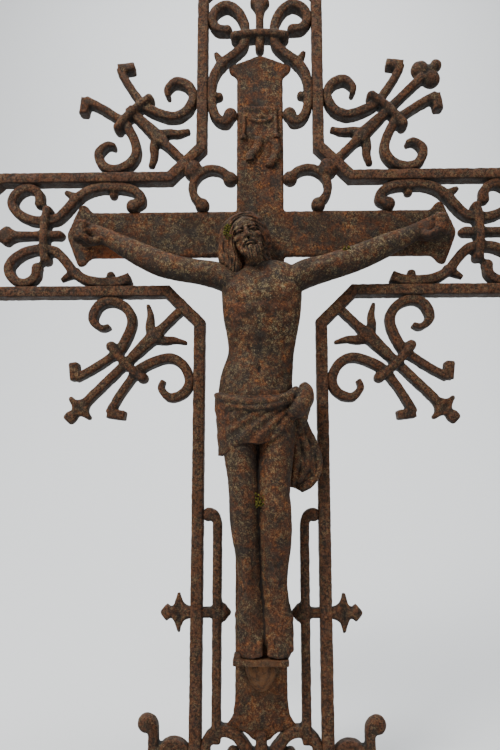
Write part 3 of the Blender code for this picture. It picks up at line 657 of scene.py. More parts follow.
def lyre(surface, place, full):
    """Half of an arm's end ornament; the lower ones end in a short leaf instead of a curl."""
    s = sizes()
    touch = s.rail_half - s.rail_width / 2 - s.scroll_width / 2 + BITE
    path = [(LYRE_COLLAR, LYRE_PAIR), (LYRE_COLLAR - 0.014, LYRE_PAIR + 0.003),
            (LYRE_COLLAR - 0.027, touch * 0.54), (LYRE_COLLAR - 0.039, touch * 0.77),
            (LYRE_COLLAR - 0.057, touch * 0.945), (LYRE_BEAD + 0.006, touch)]
    rest = s.board_width / 2 + BALL - BITE
    if full:
        path += [(LYRE_BEAD - 0.020, touch * 0.965), (LYRE_BEAD - 0.035, touch * 0.84),
                 (LYRE_BEAD - 0.0375, touch * 0.68), (LYRE_BEAD - 0.027, rest)]
    else:
        path += [(LYRE_BEAD - 0.012, touch * 0.98), (LYRE_BEAD - 0.026, touch * 0.90)]
    out = [(LYRE_COLLAR, LYRE_PAIR), (LYRE_COLLAR + 0.018, LYRE_PAIR + 0.001),
           (LYRE_COLLAR + 0.037, LYRE_PAIR + 0.010), (LYRE_COLLAR + 0.047, touch * 0.68),
           (LYRE_COLLAR + 0.040, touch * 0.91), (LYRE_COLLAR + 0.025, touch),
           (LYRE_COLLAR + 0.012, touch * 0.88), (LYRE_COLLAR + 0.010, touch * 0.68)]
    spur = [(LYRE_COLLAR - 0.047, touch * 0.77), (LYRE_COLLAR - 0.034, touch * 0.83),
            (LYRE_COLLAR - 0.022, touch * 0.93)]
    bar(surface, place(smooth(path, 6)), s.scroll_width, s.scroll_depth, tip=1.0 if full else 1.12)
    bar(surface, place(smooth(out, 6)), s.scroll_width, s.scroll_depth, tip=0.95)
    knob(surface, place(stay([out[-1]]))[0], s.scroll_width * 0.60, s.scroll_depth * 0.48)
    bead = place(stay([(LYRE_BEAD, touch - s.scroll_width * 0.82)]))[0]
    knob(surface, bead, LYRE_BEAD_RADIUS, LEAF_DEPTH / 2)
    bar(surface, place(smooth(spur, 6)), s.scroll_width * 1.05, LEAF_DEPTH, tip=0.45, power=3.0,
        tip_depth=0.6)
    if full:
        knob(surface, place(stay([(LYRE_BEAD - 0.027, rest)]))[0], BALL, s.scroll_depth / 2)


def arm_end(surface, quarter):
    """An arm's end: collar, middle stem with its bud, two lyre halves and the finial outside."""
    s = sizes()
    place = turned(quarter)
    collar(surface, place, LYRE_COLLAR, LYRE_COLLAR_HALF)
    tip = LYRE_COLLAR - 0.025
    wall = s.arm_reach - s.rail_width / 2
    w, deep = s.stem_width / 2, s.scroll_depth
    rows = [(tip, 0.0018, 0.008), (tip + 0.003, w * 0.8, 0.015), (tip + 0.008, w * 1.1, deep),
            (LYRE_COLLAR, w, deep), (LYRE_BUD - 0.004, w, deep), (LYRE_BUD + 0.007, 0.0085, deep),
            (LYRE_BUD + 0.013, 0.0135, deep * 0.95), (LYRE_BUD + 0.018, 0.0128, deep * 0.9),
            (LYRE_BUD + 0.026, 0.0070, deep * 0.8),
            (wall - 0.010, 0.0044, deep * 0.7), (wall + BITE, 0.0040, deep * 0.7)]
    profiled(surface, place, rows)
    bud(surface, place, s.arm_reach + s.rail_width / 2 - 0.0018)
    for side in (stay, mirrored):
        lower = (quarter == 0 and side is mirrored) or (quarter == 2 and side is stay)
        lyre(surface, lambda p, side=side: place(side(p)), not lower)


def shaft_side(surface, place):
    """One half of the lower shaft and foot, drawn in place for the right-hand side."""
    s = sizes()
    x, top = INNER_RAIL, foot_top()
    touch = s.rail_half - s.rail_width / 2
    rail = [(x, top + 0.036), (x, -INNER_RAIL_TOP - 0.030)]
    hook = [(x + 0.0003, -INNER_RAIL_TOP - 0.018), (x + 0.003, -INNER_RAIL_TOP - 0.0088),
            (x + 0.0085, -INNER_RAIL_TOP - 0.0050), (touch - 0.004, -INNER_RAIL_TOP - 0.0045)]
    bar(surface, place(np.vstack([rail[:1], smooth(rail[1:] + hook, 6)])), INNER_RAIL_WIDTH,
        s.scroll_depth, power=5.0)
    knob(surface, place(stay([(touch - 0.0060, -INNER_RAIL_TOP - 0.0072)]))[0], 0.0084, s.scroll_depth / 2)
    start = s.rail_half + s.rail_width / 2

    def tie(p):
        """The points at the tie rod's height."""
        return place(p + (0, -TIE_DROP))
    cap = [(TIE_INNER, 0.0012, 0.006), (TIE_INNER + 0.004, 0.0062, 0.013),
           (TIE_INNER + 0.0078, 0.0106, 0.018), (TIE_INNER + 0.0105, 0.0100, 0.018),
           (TIE_INNER + 0.0125, 0.0066, 0.017), (x, 0.0062, 0.017)]
    profiled(surface, tie, cap, 2.6)
    bar(surface, tie(stay([(x, 0), (start + 0.003, 0)])), TIE_HEIGHT * 1.08, s.scroll_depth * 0.9,
        power=4.5)
    winged_bud(surface, tie, start)
    arch = (ARCH_CENTRE, top + ARCH_RADIUS + s.scroll_width / 2 - BITE)
    ring = [polar(arch, ARCH_RADIUS * share, angle) for angle, share in
            ((-166, 0.46), (-142, 0.64), (-117, 0.87))]
    ring += arc(arch, ARCH_RADIUS, -90, 150, 10)
    ring += [(0.0125, top + 0.022), (0.0105, top - 0.004)]
    bar(surface, place(smooth(ring, 5)), s.scroll_width, s.scroll_depth)
    knob(surface, place(stay([ring[0]]))[0], s.scroll_width * 0.58, s.scroll_depth / 2)
    gap = HOOK_X - s.stem_width / 2 - s.rail_half - s.rail_width / 2
    middle = (s.rail_half + s.rail_width / 2 + gap / 2, top + SIDE_CURL_RADIUS + s.scroll_width / 2 - BITE)
    curl = arc(middle, SIDE_CURL_RADIUS, -90, 205, 13)
    bar(surface, place(smooth(curl, 3)), s.scroll_width, s.scroll_depth)
    side = [(HOOK_X, -HOOK_TOP - 0.024), (HOOK_X + 0.0008, -HOOK_TOP - 0.0135),
            (HOOK_X + 0.0055, -HOOK_TOP - 0.0090), (HOOK_X + 0.0100, -HOOK_TOP - 0.0115),
            (HOOK_X + 0.0120, -HOOK_TOP - 0.0165)]
    bar(surface, place(np.vstack([[(HOOK_X, top - 0.004)], smooth(side, 6)])), s.stem_width * 1.06,
        s.scroll_depth, power=4.5)
    knob(surface, place(stay([(HOOK_X + 0.0082, -HOOK_TOP - 0.0118)]))[0], 0.0112, s.scroll_depth / 2,
         power=2.5)


def lower_shaft(surface):
    """Both halves of the lower shaft, and the short post between the foot scrolls."""
    s = sizes()
    for place in (stay, flipped):
        shaft_side(surface, place)
    post = [(0, foot_top() - 0.004), (0, -s.board_drop + 0.012)]
    bar(surface, stay(post), s.stem_width + 0.002, s.scroll_depth)


def title_scroll(surface):
    """The raised sheet above the head: a wavy slab that sinks into the board at its lower edge, rolled at
    its top, with a swag, two hanging strands and two curled ends."""
    low, h = TITLE_DROP, TITLE_HALF
    top = low + TITLE_HEIGHT
    face = board_face()

    def lay(points, width, relief, power=2.6, tip=1.0):
        """A raised, rounded strip on the board's face."""
        bar(surface, smooth(points, 6), width, 2 * relief, tip=tip, power=power, out=face, gap=0.0012)
    rows = np.linspace(0, 1, 26)[:, None]
    cols = np.linspace(-1, 1, 21)[None, :]
    z = top - 0.003 - rows * (TITLE_HEIGHT - 0.036 + 0.007 * cols - 0.005 * cols**2)
    swell = (0.0030 + 0.0014 * np.sin(rows * 7.5 + 0.6 + cols * 0.9)) * (1 - rows**5)
    x = h * 0.95 * np.broadcast_to(cols, z.shape) * (1 - 0.05 * np.sin(rows * 3.1))
    front = np.stack([x, face - swell * (1 - 0.35 * cols**6), z + sizes().crossing], axis=-1)
    back = front.copy()[:, ::-1]
    back[..., 1] = face + 0.001
    surface.grid(np.concatenate([front, back], axis=1))
    lay([(-h + 0.004, top - 0.0048), (0, top - 0.0058), (h - 0.004, top - 0.0062)], 0.0095, TITLE_RELIEF)
    lay([(-h + 0.006, top - 0.0145), (0, top - 0.0155), (h - 0.006, top - 0.0165)], 0.0042, 0.0042)
    swag = [(-h + 0.008, top - 0.013), (-h * 0.4, top - 0.0205), (h * 0.15, top - 0.0225),
            (h * 0.55, top - 0.0190), (h - 0.006, top - 0.013)]
    lay(swag, 0.0056, 0.0046)
    for side, rise in ((-1, 0), (1, 0.001)):
        strand = [(side * (h - 0.0040), top - 0.010), (side * (h - 0.0032), low + 0.054),
                  (side * (h - 0.0026), low + 0.042)]
        lay(stay(strand) + (0, rise), 0.0046, 0.0046)
        lay(stay([strand[-1], (strand[-1][0], low + 0.037)]) + (0, rise), 0.0082, TITLE_RELIEF)
    left_curl = [(-0.0070, low + 0.0335), (-0.0030, low + 0.0330), (-0.0035, low + 0.0255),
                 (-0.0090, low + 0.0180), (-0.0135, low + 0.0120), (-0.0128, low + 0.0062)]
    lay(left_curl, 0.0126, TITLE_RELIEF + 0.0006)
    right_curl = [(0.0190, low + 0.0350), (0.0215, low + 0.0230), (0.0195, low + 0.0110),
                  (0.0135, low + 0.0030), (0.0085, low + 0.0040)]
    lay(right_curl, 0.0122, TITLE_RELIEF + 0.0006)


def footrest(surface):
    """The ledge under the feet and the worn, lumpy bracket below it, rounded and narrowing downwards."""
    s = sizes()
    half = s.board_width / 2 + 0.001
    face, top = board_face(), ledge_top()
    middle = face - LEDGE_DEPTH / 2 + 0.0005
    z = top - LEDGE_THICKNESS / 2
    bar(surface, stay([(-half, z), (half, z)]), LEDGE_THICKNESS, LEDGE_DEPTH, power=9.0, sides=28,
        out=middle, gap=0.0015)
    rows = np.linspace(0, 1, 30)[:, None]
    turn = np.linspace(0, math.pi, 61)[None, :]
    size = np.sqrt(np.clip(1 - rows**2.6, 0.004, 1))
    ribs = 1 + 0.05 * np.sin(turn * 5 + 0.8) * np.exp(-((rows - 0.15) / 0.16)**2) - 0.05 * np.cos(rows * 8)
    x = CONSOLE_HALF * size * np.cos(turn) * ribs
    y = face - (LEDGE_DEPTH - 0.012) * size * np.sin(turn) * ribs
    drop = np.broadcast_to(z - CONSOLE_HEIGHT * rows, x.shape)
    front = np.stack([x, y, drop + s.crossing], axis=-1)
    back = front[:, ::-1].copy()
    back[..., 1] = face + 0.001
    surface.grid(np.concatenate([front, back], axis=1))


# The figure. A station is (across, out from the board, up from the crossing, half width, half depth),
# in parts of its height.

TORSO = [(-2, 22, -52, 26, 14), (0, 24, -62, 44, 20), (2, 27, -78, 50, 25), (2, 29, -98, 50, 28),
         (2, 28, -120, 48, 27.5), (2, 26, -142, 44, 25), (1, 23, -162, 41, 22), (-1, 23, -180, 42, 23),
         (-5, 25, -202, 45, 25), (-6, 27, -230, 46, 27), (-5, 27, -262, 43, 26)]
LEG_LEFT = [(-26, 27, -232, 22, 24), (-25, 31, -262, 22, 24), (-24, 37, -289, 20, 22),
            (-21, 43, -318, 18, 19), (-19.5, 46, -343, 17.5, 18), (-19.5, 41, -365, 17, 17.5),
            (-17.5, 35, -388, 16, 17), (-15, 29, -408, 15, 15.5), (-13.5, 25, -430, 14, 13.5),
            (-13, 24, -450, 14, 12.5), (-12.5, 25, -466, 15.5, 13), (-12.5, 27, -483, 17.5, 13),
            (-12.3, 29, -500, 17.5, 12), (-12.3, 30, -513, 15, 11), (-12, 30, -523, 12, 9)]
LEG_RIGHT = [(22, 27, -232, 22, 24), (20, 31, -265, 23, 25), (18, 37, -300, 20.5, 22),
             (16, 43, -334, 19, 19), (17, 45, -353, 19, 18), (18, 41, -378, 19, 18),
             (17.5, 35, -398, 18.3, 17), (16.5, 29, -420, 16.5, 15.5), (16, 25, -441, 15.3, 14),
             (17.5, 24, -458, 15.5, 13), (19.5, 26.5, -480, 17.5, 13), (21, 29, -500, 17.5, 12),
             (21.5, 30, -513, 15, 11), (21.5, 30, -523, 12, 9)]
ARM_LEFT = [(-34, 26, -74, 16, 18), (-56, 25, -64, 17, 16), (-80, 24, -59, 15.8, 14),
            (-104, 23, -54, 16.2, 14), (-126, 22, -47.5, 16.6, 13.5), (-148, 20, -37, 15.8, 12.5),
            (-168, 17, -26, 14.2, 11), (-188, 13, -14, 12, 9), (-202, 11, -6.5, 11.5, 8),
            (-213, 10, -4.5, 14, 8), (-224, 10, -3.5, 16.5, 8), (-232, 10, -3, 16, 7)]
ARM_RIGHT = [(38, 26, -74, 17, 18), (58, 25, -63, 18.5, 17), (84, 24, -55, 17.2, 15),
             (108, 23, -47, 17, 14.5), (128, 22, -39.5, 16.6, 13.5), (150, 20, -29.5, 15.6, 12.5),
             (170, 17, -19.5, 14, 11), (188, 13, -10.5, 12, 9), (200, 11, -4.5, 11.5, 8),
             (211, 10, -2, 14.5, 8), (222, 10, 0, 17, 8), (231, 10, 2, 16.5, 7)]
NECK = [(1, 22, -74, 26, 13), (-1, 25, -66, 17, 13), (-4, 28, -56, 13, 13), (-7, 31, -44, 13, 14),
        (-10, 32, -32, 14, 15)]
MUSCLES = [  # from, to, half width, half depth
    ((-48, 27, -66), (-90, 26, -56), 10.0, 15.0), ((50, 27, -66), (92, 26, -52), 12.0, 17.0),
    ((-72, 28, -58), (-122, 26, -48), 8.5, 8.5), ((76, 28, -57), (126, 26, -39), 9.5, 9.5),
    ((-122, 24, -42), (-176, 19, -18), 7.0, 8.0), ((122, 24, -34), (178, 19, -13), 7.5, 8.5),
    ((-128, 24, -51), (-170, 19, -31), 5.5, 6.0), ((128, 24, -44), (170, 19, -26), 6.0, 6.5),
    ((-42, 40, -82), (-2, 47, -94), 13.5, 7.5), ((46, 40, -82), (4, 47, -94), 13.5, 7.5),
    ((-30, 35, -66), (-6, 36, -70), 3.0, 4.5), ((32, 35, -66), (8, 36, -70), 3.0, 4.5),
    ((-8, 43, -116), (-8, 38, -166), 8.5, 6.5), ((11, 43, -116), (9, 38, -166), 8.5, 6.5),
    ((-9, 39, -160), (-8, 40, -214), 9.5, 6.5), ((9, 39, -160), (6, 40, -214), 9.5, 6.5),
    ((-30, 45, -282), (-24, 54, -338), 9.0, 7.0), ((-17, 49, -286), (-16, 54, -336), 8.0, 6.5),
    ((10, 48, -286), (12, 55, -342), 8.5, 7.0), ((25, 46, -284), (22, 54, -342), 9.0, 7.0),
    ((-20, 58, -328), (-20, 54, -362), 12.0, 6.5), ((17, 58, -336), (17.5, 54, -372), 12.5, 6.5),
    ((-18, 47, -356), (-14.5, 33, -452), 7.5, 8.0), ((17, 46, -366), (17, 33, -456), 8.0, 8.0),
    ((-26.5, 29, -470), (-27, 29, -482), 4.0, 5.0), ((34, 30, -474), (35, 30, -486), 4.0, 5.0),
    ((-223, 12, -12), (-214, 16, -3), 5.0, 4.5), ((222, 12, -9), (213, 16, 0), 5.0, 4.5),
]
HEAD_CENTRE = (-16, 33, -19)
HEAD_LEAN, HEAD_BACK = 15.0, 8.0      # degrees to the figure's right, and back
SKULL = [  # centre and half sizes in parts, before the head is leaned
    ((0, -3, 8.5), (21.5, 25.5, 22.5)), ((0, 6, 11), (18.5, 18.5, 15.5)), ((0, 5, -6), (17.8, 18.5, 16)),
    ((0, 6.5, -15), (13.8, 16.5, 14)), ((0, 15.5, -24.5), (7.0, 7.5, 6.0)),
    ((-11.5, 16.2, -5.5), (5.6, 5.4, 4.2)), ((11.5, 16.2, -5.5), (5.6, 5.4, 4.2)),
    ((-7.8, 19.6, 1.6), (5.0, 4.2, 3.3)), ((7.8, 19.6, 1.6), (5.0, 4.2, 3.3)),
    ((-3.4, 25.2, -8.6), (2.5, 2.6, 2.0)), ((3.4, 25.2, -8.6), (2.5, 2.6, 2.0)),
    ((0, 27.6, -8.0), (2.9, 3.4, 2.6)), ((0, 22.6, -14.4), (6.0, 2.3, 1.6)),
    ((0, 22.2, -17.6), (5.0, 2.4, 1.9)),
]
FACE_RIDGES = [  # from, to, radius
    ((0, 23.5, 4.5), (0, 29.4, -7.0), 2.7), ((-2.5, 23.4, 6.2), (-13.5, 18.8, 5.6), 2.2),
    ((2.5, 23.4, 6.2), (13.5, 18.8, 5.6), 2.2), ((-1.2, 24.6, -11.6), (-10.5, 18.6, -17.5), 2.3),
    ((1.2, 24.6, -11.6), (10.5, 18.6, -17.5), 2.3),
]
BEARD_LOCKS = [  # root and tip; the beard is short, in two points
    ((-13.5, 12, -12), (-12, 13, -25)), ((-11, 16, -18), (-9, 16.5, -31)),
    ((-7, 19, -22), (-5.5, 18.5, -36)), ((-3, 20.5, -23.5), (-2.6, 20, -39)),
    ((3, 20.5, -23.5), (2.6, 20, -39)), ((7, 19, -22), (5.5, 18.5, -36)), ((11, 16, -18), (9, 16.5, -31)),
    ((13.5, 12, -12), (12, 13, -25)), ((0, 22.5, -21.5), (0, 21.5, -28)),
]
HAIR = [  # stations as above; locks that part over the brow and fall to the shoulders
    [(-22, 42, 9, 5, 6), (-33, 43, 1, 5.5, 8), (-39, 40, -13, 6, 9), (-40, 36, -29, 6, 10),
     (-38, 34, -44, 6.5, 10), (-35, 34, -58, 5.5, 8), (-33, 33, -69, 3, 5)],
    [(-24, 34, 11, 5, 8), (-38, 34, 1, 6, 10), (-45, 31, -13, 6, 10), (-47, 28, -29, 6, 11),
     (-45, 28, -43, 6.5, 11), (-41, 29, -57, 6, 9), (-38, 29, -68, 3.5, 6)],
    [(-25, 22, 11, 5, 9), (-39, 20, 3, 6, 12), (-47, 18, -12, 5, 12), (-48, 17, -30, 5, 13),
     (-45, 18, -44, 6, 12), (-41, 19, -58, 6, 11), (-37, 20, -69, 4, 8)],
    [(-31, 47, -4, 3.5, 4), (-35, 46, -16, 4.5, 5), (-35, 42, -30, 5, 7), (-32, 38, -45, 5.5, 9),
     (-29, 36, -58, 5, 8), (-28, 34, -69, 3, 5)],
    [(-30, 24, -34, 6, 14), (-31, 25, -46, 7, 14), (-31, 26, -58, 7, 12), (-30, 27, -70, 5, 8)],
    [(-20, 42, 9, 5, 6), (-8, 43, 4, 5.5, 8), (1, 40, -8, 5.5, 8), (4.5, 36, -22, 5, 8),
     (5, 33, -36, 4.5, 7), (7, 32, -50, 2.2, 4)],
    [(-19, 34, 11, 5, 8), (-4, 34, 5, 6, 10), (5.5, 30, -9, 5.5, 10), (9.5, 27, -24, 4.5, 10),
     (9.5, 26, -38, 4, 8), (11, 26, -50, 2, 4)],
    [(-19, 22, 11, 5, 9), (-4, 20, 5, 6, 12), (6, 17, -9, 5, 12), (10, 15, -26, 4, 12),
     (10, 15, -40, 3.5, 9), (12, 16, -52, 2, 5)],
]
CLOTH = [(-7, 26, -214, 46.5, 27.5), (-7, 27, -224, 49, 30.5), (-5, 28, -238, 49, 32),
         (-4, 29, -252, 48.5, 33), (-4, 30, -266, 47.5, 33), (-5, 30, -277, 45.5, 31)]
CLOTH_SLANT = 0.26
FOLD_HUB = (50, -219)
FOLDS = (-7, 0.5, 8, 16, 25, 35, 47, 61)          # degrees below the level, seen from the knot
CLOTH_LUMPS = [  # stations of the roll over the cloth's edge, the knot, and the end that hangs behind
    [(-52, 28, -219, 4.5, 6), (-46, 42, -222.5, 5.2, 6), (-30, 53, -227, 5.2, 5.5),
     (-8, 58.5, -230, 5.0, 5.0), (16, 56, -228, 5.2, 5.0), (34, 48, -221.5, 6, 6), (45, 38, -214, 7, 7)],
    [(-51, 30, -226, 3.5, 5), (-38, 49, -232, 3.8, 4.5), (-12, 60, -237, 3.6, 4), (16, 58, -234, 3.8, 4),
     (38, 48, -224, 5, 5)],
    [(34, 46, -244, 8, 6), (45, 45, -236, 11, 11), (53, 39, -224, 12, 13), (55, 31, -212, 9, 12),
     (51, 30, -204, 5, 7)],
    [(40, 44, -214, 5, 5), (49, 42, -221, 6.5, 6), (55, 38, -231, 6, 6), (55, 34, -242, 4.5, 5)],
    [(44, 43, -228, 8, 8), (50, 37, -240, 8.5, 9), (49, 31, -252, 7, 8), (45, 26, -262, 5, 6)],
    [(42, 26, -244, 12, 12), (47, 22, -264, 15, 12), (52, 18, -288, 18, 11), (52, 17, -306, 18, 11),
     (47, 16, -322, 15, 10), (43, 15, -331, 9, 7)],
    [(48, 30, -240, 5, 6), (56, 27, -260, 5.5, 6), (66, 20, -281, 6, 7), (70.5, 17, -298, 5, 7),
     (67, 19, -314, 5.5, 6), (58, 22, -325, 6, 6), (47, 22, -331, 5.5, 5)],
    [(38, 31, -252, 5, 6), (43, 31, -276, 5, 6), (43, 28, -300, 5.5, 6), (40, 24, -318, 5, 6),
     (37, 20, -328, 4, 5)],
    [(50, 31, -268, 4, 5), (57, 28, -286, 5, 5.5), (55, 28, -303, 5.5, 5), (49, 26, -315, 4.5, 5),
     (44, 25, -322, 4, 4)],
    [(62, 24, -278, 4, 4.5), (61, 26, -298, 4, 4.5), (63, 22, -312, 4, 4.5)],
    [(46, 27, -286, 4, 5), (50, 29, -296, 4, 5), (51, 27, -308, 4, 4)],
]
TOES = [  # roots and tips of the toes of both feet, and their radii
    ((-24.5, 33, -500), (-25.0, 35, -514.5), 4.0), ((-19.3, 34.5, -501), (-19.8, 37, -517.5), 4.0),
    ((-14.0, 35.2, -502), (-14.2, 38, -519.5), 4.0), ((-8.8, 35.5, -502), (-8.8, 38.5, -520.3), 4.1),
    ((-2.9, 34.5, -501), (-2.5, 37.5, -519.0), 5.0),
    ((12.4, 34.5, -501), (12.0, 37.5, -519.0), 5.0), ((18.5, 35.5, -502), (18.5, 38.5, -520.3), 4.1),
    ((23.8, 35.2, -502), (24.0, 38, -519.5), 4.0), ((29.0, 34.5, -501), (29.4, 37, -517.5), 4.0),
    ((34.0, 33, -500), (34.6, 35, -514.5), 4.0),
]
FINGER = [(-7, 12, 4.4), (2, 16.5, 5.0), (8.0, 20, 4.8), (8.0, 25.5, 4.6), (2, 29, 4.4), (-6, 27.5, 4.0)]
FINGER_RISE = (14.0, 5.0, -4.2, -13.0)
MARKS = [  # (across, up) lines on the body's front, their breadth, and how far they push in or out
    (((1, -68), (1, -88), (1, -104)), 4.5, -1.0),
    (((-44, -92), (-34, -102), (-20, -106), (-4, -105)), 5.0, -1.7),
    (((48, -92), (38, -102), (24, -106), (6, -105)), 5.0, -1.7),
    (((-7, -118), (-13, -124), (-24, -139), (-30, -158)), 5.0, -1.7),
    (((9, -118), (16, -124), (27, -139), (31, -158)), 5.0, -1.7),
    (((1, -122), (0, -160), (-1, -205)), 4.5, -0.6),
    (((-15, -136), (0, -135), (16, -136)), 3.5, -0.7), (((-15, -154), (0, -153), (15, -154)), 3.5, -0.7),
    (((-1, -186), (-1.4, -190)), 2.8, -2.0),
    (((-46, -110), (-36, -115), (-26, -122)), 3.2, -1.1),
    (((-46, -122), (-37, -127), (-28, -134)), 3.2, -1.1),
    (((-45, -134), (-38, -139), (-31, -146)), 3.2, -0.9), (((49, -110), (39, -115), (29, -122)), 3.2, -1.1),
    (((49, -122), (40, -127), (31, -134)), 3.2, -1.1), (((48, -134), (41, -139), (33, -146)), 3.2, -0.9),
    (((-34, -194), (-22, -210)), 4.5, -1.2), (((30, -194), (19, -210)), 4.5, -1.2),
    (((-26, -96), (-26.4, -96.4)), 2.2, 1.2), (((29, -96), (29.4, -96.4)), 2.2, 1.2),
    (((-30, -352), (-20, -368), (-9, -352)), 5.0, -1.2), (((6, -362), (17, -379), (28, -362)), 5.0, -1.2),
    (((-17, -484), (-19, -504)), 3.5, -0.7), (((-8, -484), (-8, -504)), 3.0, -0.6),
    (((16, -484), (16, -504)), 3.0, -0.8), (((26, -484), (28, -504)), 3.5, -0.7),
]
FACE_MARKS = [  # (across, up) lines on the face before it is leaned, their breadth and depth
    (((-12.6, 2.6), (-8, 3.9), (-3.6, 2.6)), 1.0, -0.9), (((3.6, 2.6), (8, 3.9), (12.6, 2.6)), 1.0, -0.9),
    (((-12.4, 0.2), (-8, -1.3), (-3.8, 0.2)), 0.8, -1.3), (((3.8, 0.2), (8, -1.3), (12.4, 0.2)), 0.8, -1.3),
    (((-12, -3.4), (-8, -4.4), (-4.6, -3.0)), 1.3, -0.6), (((4.6, -3.0), (8, -4.4), (12, -3.4)), 1.3, -0.6),
    (((-5.6, -16.4), (0, -15.9), (5.6, -16.4)), 0.9, -0.8), (((-3.6, -20.4), (3.6, -20.4)), 1.5, -0.5),
    (((0, -11.2), (0, -12.8)), 0.9, -0.7),
]


def world(points):
    """Figure parts (across, out, up) in metres."""
    p = np.asarray(points, float) * part()
    return np.stack([p[..., 0], board_face() - p[..., 1], sizes().crossing + p[..., 2]], axis=-1)


def limb(surface, stations, sides=28, steps=6, carry=stay):
    """A tapering body of elliptical sections square to the line through its stations."""
    rows = smooth(stations, steps)
    middle = rows[:, :3]
    along = np.gradient(middle, axis=0)
    along /= np.linalg.norm(along, axis=1)[:, None]
    across = np.cross(along, (0, 1, 0))
    across /= np.linalg.norm(across, axis=1)[:, None]
    out = np.cross(across, along)
    turn = np.linspace(0, 2 * math.pi, sides, endpoint=False)[None, :, None]
    rings = (middle[:, None] + across[:, None] * rows[:, None, 3:4] * np.cos(turn)
             + out[:, None] * rows[:, None, 4:5] * np.sin(turn))
    surface.grid(world(carry(rings)))


def muscle(surface, start, end, wide, deep, carry=stay, sides=20):
    """A spindle between two points: the half widths follow the root of a half ellipse."""
    share = (1 - np.cos(np.linspace(0.05, math.pi - 0.05, 15))) / 2
    swell = np.sqrt(1 - (2 * share - 1)**2)
    line = np.array(start) + share[:, None] * (np.array(end, float) - start)
    limb(surface, np.column_stack([line, wide * swell, deep * swell]), sides, 1, carry)


def lump(surface, centre, radii, carry=stay, rings=18, sides=28):
    """An ellipsoid in figure parts."""
    lift = np.linspace(-math.pi / 2, math.pi / 2, rings + 2)[1:-1][:, None]
    turn = np.linspace(0, 2 * math.pi, sides, endpoint=False)[None, :]
    ball = np.stack([np.cos(lift) * np.cos(turn), np.cos(lift) * np.sin(turn),
                     np.broadcast_to(np.sin(lift), (rings, sides))], axis=-1)
    surface.grid(world(carry(ball * np.array(radii) + np.array(centre))))


def head_turn():
    """The lean and tilt of the head as one matrix on (across, out, up)."""
    lean, back = math.radians(HEAD_LEAN), math.radians(HEAD_BACK)
    tilt = np.array([[1, 0, 0], [0, math.cos(back), -math.sin(back)], [0, math.sin(back), math.cos(back)]])
    roll = np.array([[math.cos(lean), 0, -math.sin(lean)], [0, 1, 0], [math.sin(lean), 0, math.cos(lean)]])
    return roll @ tilt


def on_head(points):
    """Points of the head, leaned, tilted and set in their place."""
    return stay(points) @ head_turn().T + HEAD_CENTRE


def parts_of(points):
    """World points back in figure parts."""
    p = np.array(points, float)
    return np.stack([p[:, 0], board_face() - p[:, 1], p[:, 2] - sizes().crossing], axis=-1) / part()


def line_distance(points, line):
    """Distance of each point to a broken line, the least over its legs."""
    best = np.full(len(points), 1e9)
    line = np.asarray(line, float)
    for a, b in zip(line, line[1:]):
        leg = b - a
        share = np.clip(((points - a) @ leg) / (leg @ leg), 0, 1)
        best = np.minimum(best, np.linalg.norm(points - a - share[:, None] * leg, axis=1))
    return best


def carve(mesh, marks, flat, front):
    """Push the surface along its normals by a bell curve round each mark, on its front side alone."""
    points, normals = points_of(mesh), normals_of(mesh)
    facing = np.clip(front * 1.8, 0, 1)
    push = np.zeros(len(points))
    for line, breadth, height in marks:
        near = line_distance(flat, line) / breadth
        push += height * np.exp(-near**2)
    points += normals * (push * facing * part())[:, None]
    mesh.vertices.foreach_set("co", points.ravel())
    mesh.update()


def trimmed(obj):
    """Flatten what would reach behind the board's face or below the soles onto those planes."""
    mesh = obj.data
    points = points_of(mesh)
    back = board_face() - CLEARANCE
    sole = sizes().crossing + ledge_top() + CLEARANCE
    points[:, 1] = np.minimum(points[:, 1], back)
    points[:, 2] = np.maximum(points[:, 2], sole)
    mesh.vertices.foreach_set("co", points.ravel())
    mesh.update()


def fingers(surface, side, palm, rise):
    """Four curled fingers and a thumb at the end of a palm."""
    for lift in FINGER_RISE:
        reach = 1 - 0.006 * abs(lift - 3)
        rows = [(side * (palm + along * reach), out, rise + lift * (1 - 0.012 * out), radius, radius)
                for along, out, radius in FINGER]
        limb(surface, rows, sides=16, steps=4)
    thumb = [(side * (palm - 18), 14, rise - 9, 6.2, 6.2), (side * (palm - 12), 20, rise - 13, 5.6, 5.6),
             (side * (palm - 4), 27, rise - 10, 5.0, 5.0), (side * (palm + 2), 30, rise - 4, 4.2, 4.2)]
    limb(surface, thumb, sides=16, steps=4)


def body_shells():
    """The body before it is fused: torso, limbs, neck, muscles, toes and fingers."""
    surface = Surface()
    for rows in (TORSO, LEG_LEFT, LEG_RIGHT, ARM_LEFT, ARM_RIGHT, NECK):
        limb(surface, rows, sides=44)
    for start, end, wide, deep in MUSCLES:
        muscle(surface, start, end, wide, deep)
    for root, tip, radius in TOES:
        joint = np.mean([root, tip], axis=0) + (0, 1.6, 0)
        nail = np.array(tip) + (0, -0.3, -1.6)
        rows = [(*root, radius * 0.95, radius), (*joint, radius * 0.92, radius),
                (*tip, radius, radius * 0.9), (*nail, radius * 0.6, radius * 0.5)]
        limb(surface, rows, sides=16, steps=4)
    fingers(surface, -1, 229, -3)
    fingers(surface, 1, 228, 2)
    return surface


